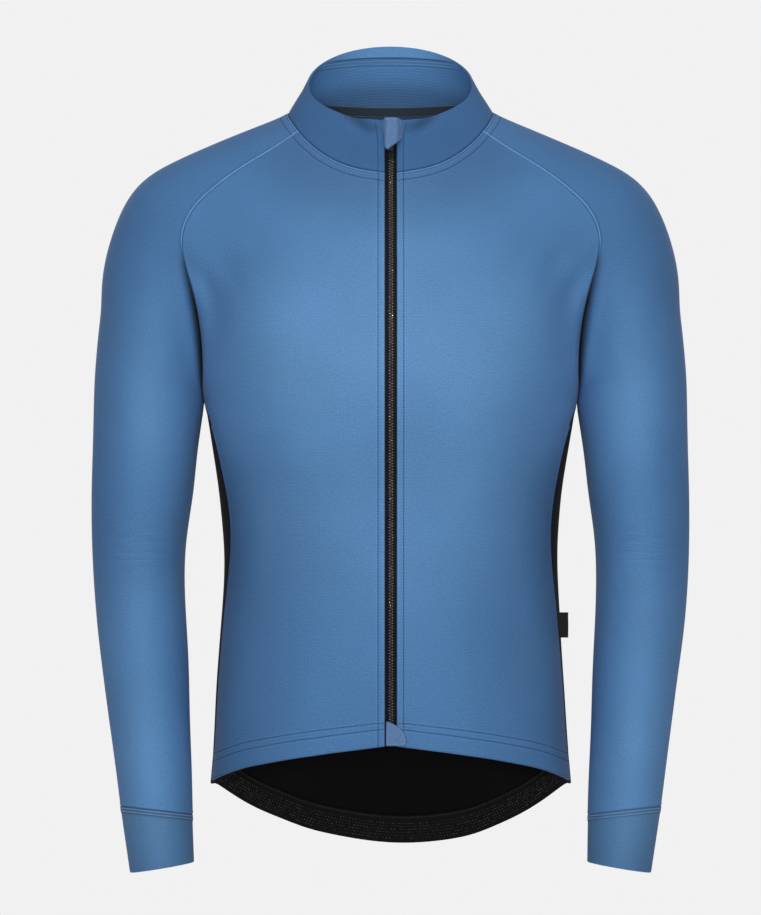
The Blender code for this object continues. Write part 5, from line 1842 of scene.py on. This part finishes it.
def make_light(name, place, size, power):
    """A soft panel of light that faces the middle of the jacket."""
    data = add_light(name, "AREA", place, LIGHT_TARGET, power)[0]
    data.shape, (data.size, data.size_y) = "RECTANGLE", size


def make_pool(name, place, target, reach, power):
    """A pool of light that is brightest at the target and gone at reach from it."""
    data, way = add_light(name, "SPOT", place, target, power)
    data.color, data.shadow_soft_size, data.spot_blend = POOL_COLOUR, POOL_SOFTNESS, 1.0
    data.spot_size = 2 * math.atan(reach / way.length)


def to_side(side, place):
    return (side * place[0], *place[1:])


def make_lights():
    make_light("top", *TOP_PANEL)
    for side in (-1, 1):
        for name, place, size, power in PANELS:
            make_light(f"{name}_{side}", to_side(side, place), (size, size), power)
        for name, x, z, reach, power in POOLS:
            place = (side * POOL_SIDE, -POOL_DISTANCE, z + POOL_RISE)
            make_pool(f"{name}_{side}", place, (side * x, POOL_DEPTH, z), reach, power)
        for name, place, target, reach, power in CROSS_POOLS:
            make_pool(f"{name}_{side}", to_side(side, place), to_side(side, target), reach, power)


def make_stage():
    """A pale floor, and a plain backdrop all round that lights nothing."""
    bm = bmesh.new()
    bmesh.ops.create_circle(bm, cap_ends=True, segments=FLOOR_SIDES, radius=FLOOR_REACH)
    floor = add_object("floor", mesh_from("floor", bm, floor_look("floor")))
    floor.location = (0, 0, FLOOR_HEIGHT)
    bm = bmesh.new()
    bmesh.ops.create_icosphere(bm, subdivisions=4, radius=SURROUND_REACH)
    surround = add_object("surround", mesh_from("surround", bm, backdrop_look("backdrop", BACKDROP)))
    for ray in ("diffuse", "glossy", "transmission", "shadow"):
        setattr(surround, "visible_" + ray, False)


def make_world(strength, colour):
    world = bpy.data.worlds.new("studio")
    world.use_nodes = True
    ground = world.node_tree.nodes["Background"]
    ground.inputs["Color"].default_value = (*colour, 1)
    ground.inputs["Strength"].default_value = strength
    bpy.context.scene.world = world
    bpy.context.scene.view_settings.view_transform = "Standard"


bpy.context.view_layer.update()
make_camera()

# Where the finest wrinkles lie (metres), how far they reach, and how steep they are.
ELBOW_WRINKLES = (((0.231, -0.060, -0.408), 0.034, 0.04), ((0.228, 0.030, -0.420), 0.040, -0.04))

blue = softshell("blue_softshell_cloth", (0.0835, 0.230, 0.470))
blue_sleeve = softshell("blue_sleeve_cloth", (0.0765, 0.214, 0.442), wrinkled=ELBOW_WRINKLES)
blue_cuff = softshell("blue_cuff_cloth", (0.070, 0.188, 0.372))
blue_collar = softshell("blue_collar_cloth", (0.047, 0.150, 0.335))
blue_collar_in = softshell("blue_facing_cloth", (0.095, 0.27, 0.56))
periwinkle = softshell("periwinkle_cloth", (0.125, 0.245, 0.46))
black = softshell(
    "black_softshell_cloth", (0.0032, 0.0032, 0.004), roughness=0.85, gleam=0.0, sheen=0.01, specular=0.12
)
navy = woven("navy_tape_weave", (0.008, 0.023, 0.043), sheen=0.02)
zip_tape = woven("zip_tape_weave", (0.0055, 0.0058, 0.0065), pitch=(0.0008, 0.0011), specular=0.15)
label_tape = woven("label_weave", (0.0075, 0.0075, 0.009), pitch=(0.0007, 0.0009), specular=0.2)
elastic = woven("elastic_weave", (0.0045, 0.0045, 0.005), pitch=(0.0016, 0.0009), bump=0.8, specular=0.15)
blue_thread = thread("blue_thread", (0.007, 0.025, 0.068))
pale_thread = thread("pale_thread", (0.24, 0.42, 0.62))
cover_thread = thread("cover_thread", (0.15, 0.30, 0.50))
black_thread = thread("black_thread", (0.010, 0.010, 0.012))
plastic = moulded("black_plastic_moulding", (0.010, 0.010, 0.012))
tooth_plastic = moulded("zip_tooth_plastic", (0.008, 0.008, 0.009), roughness=0.26, coat=1.0)
rubber = moulded("gripper_rubber", (0.034, 0.034, 0.037), roughness=0.42)

seams = Seams(BODICE_CELLS, RAGLAN_CELLS)
front_grid = front_panel(seams, FRONT_CELLS)
collar = collar_panel(collar_angles(seams.neck_start), COLLAR_CELLS)
back_grid = back_panel(seams, BACK_HALF_CELLS)
sleeve_grid = sleeve_panel(seams, SLEEVE_CELLS, ARM_CELLS)
# Each sheet: its coarse grid, its fine cells, and the extra lines at its left, right, bottom and top
front = Sheet(front_grid, (34, 130), ZIP_STOPS, SEAM_STOPS, HEM_STOPS, NECK_STOPS)
back = Sheet(back_grid, (96, 140), SEAM_STOPS, SEAM_STOPS, BACK_HEM_STOPS, NECK_STOPS)
sleeve = Sheet(sleeve_grid, (66, 170), SEAM_STOPS, SEAM_STOPS, NECK_STOPS, SEAM_STOPS)
cuff = Sheet(cuff_panel(SLEEVE_CELLS, CUFF_ROWS), (96, 12), bottom=CUFF_STOPS, top=FOLD_STOPS, closed=True)
collar_sheet = Sheet(collar, (150, 64), COLLAR_STOPS, COLLAR_STOPS, SEAM_STOPS, FOLD_STOPS)

# Neighbours turn towards each other at their seams, and then close the gaps between them
side_line = front.points[:, -1]
front_way, back_way = front.out[:, -1].copy(), back.out[:, -1].copy()
sleeve_front, sleeve_back = ((sleeve.points[:, i].copy(), sleeve.out[:, i].copy()) for i in (0, -1))
front.lean("right", back.points[:, -1], back_way)
front.lean("right", *sleeve_front)
back.lean("right", side_line, front_way)
back.lean("right", *sleeve_back)
back.lean("left", side_line * MIRROR, front_way * MIRROR)
back.lean("left", *(part * MIRROR for part in sleeve_back))
sleeve.lean("left", side_line, front_way)
sleeve.lean("right", back.points[:, -1], back_way)
sleeve.join("left", side_line)
back.join("right", side_line)
back.join("left", side_line * MIRROR)
sleeve.join("right", back.points[:, -1])
neck_line = np.concatenate((front.points[-1], sleeve.points[0], back.points[-1, ::-1]))
collar_sheet.join("bottom", np.concatenate((neck_line, neck_line[::-1] * MIRROR)), overrun=0.8)
front.join("right", side_line)
front.join("top", front.points[-1].copy())

make_back(back)
for side in SIDES:
    for make, sheet in ((make_front, front), (make_sleeve, sleeve), (make_cuff, cuff)):
        make(side, sheet.on(side))
make_collar(collar_sheet)
make_facing(collar_sheet)
make_neck_tape(collar_sheet)
make_gripper(back)
make_zip(zip_line(front_grid, collar))
make_flap("zip_flap_top", TOP_FLAP, on_collar_front, over_the_pull)
make_flap("zip_flap_foot", FOOT_FLAP, on_hem_front, np.zeros_like)
make_slider(collar)
make_label()

make_stage()
make_world(WORLD_STRENGTH, WORLD_COLOUR)
make_lights()
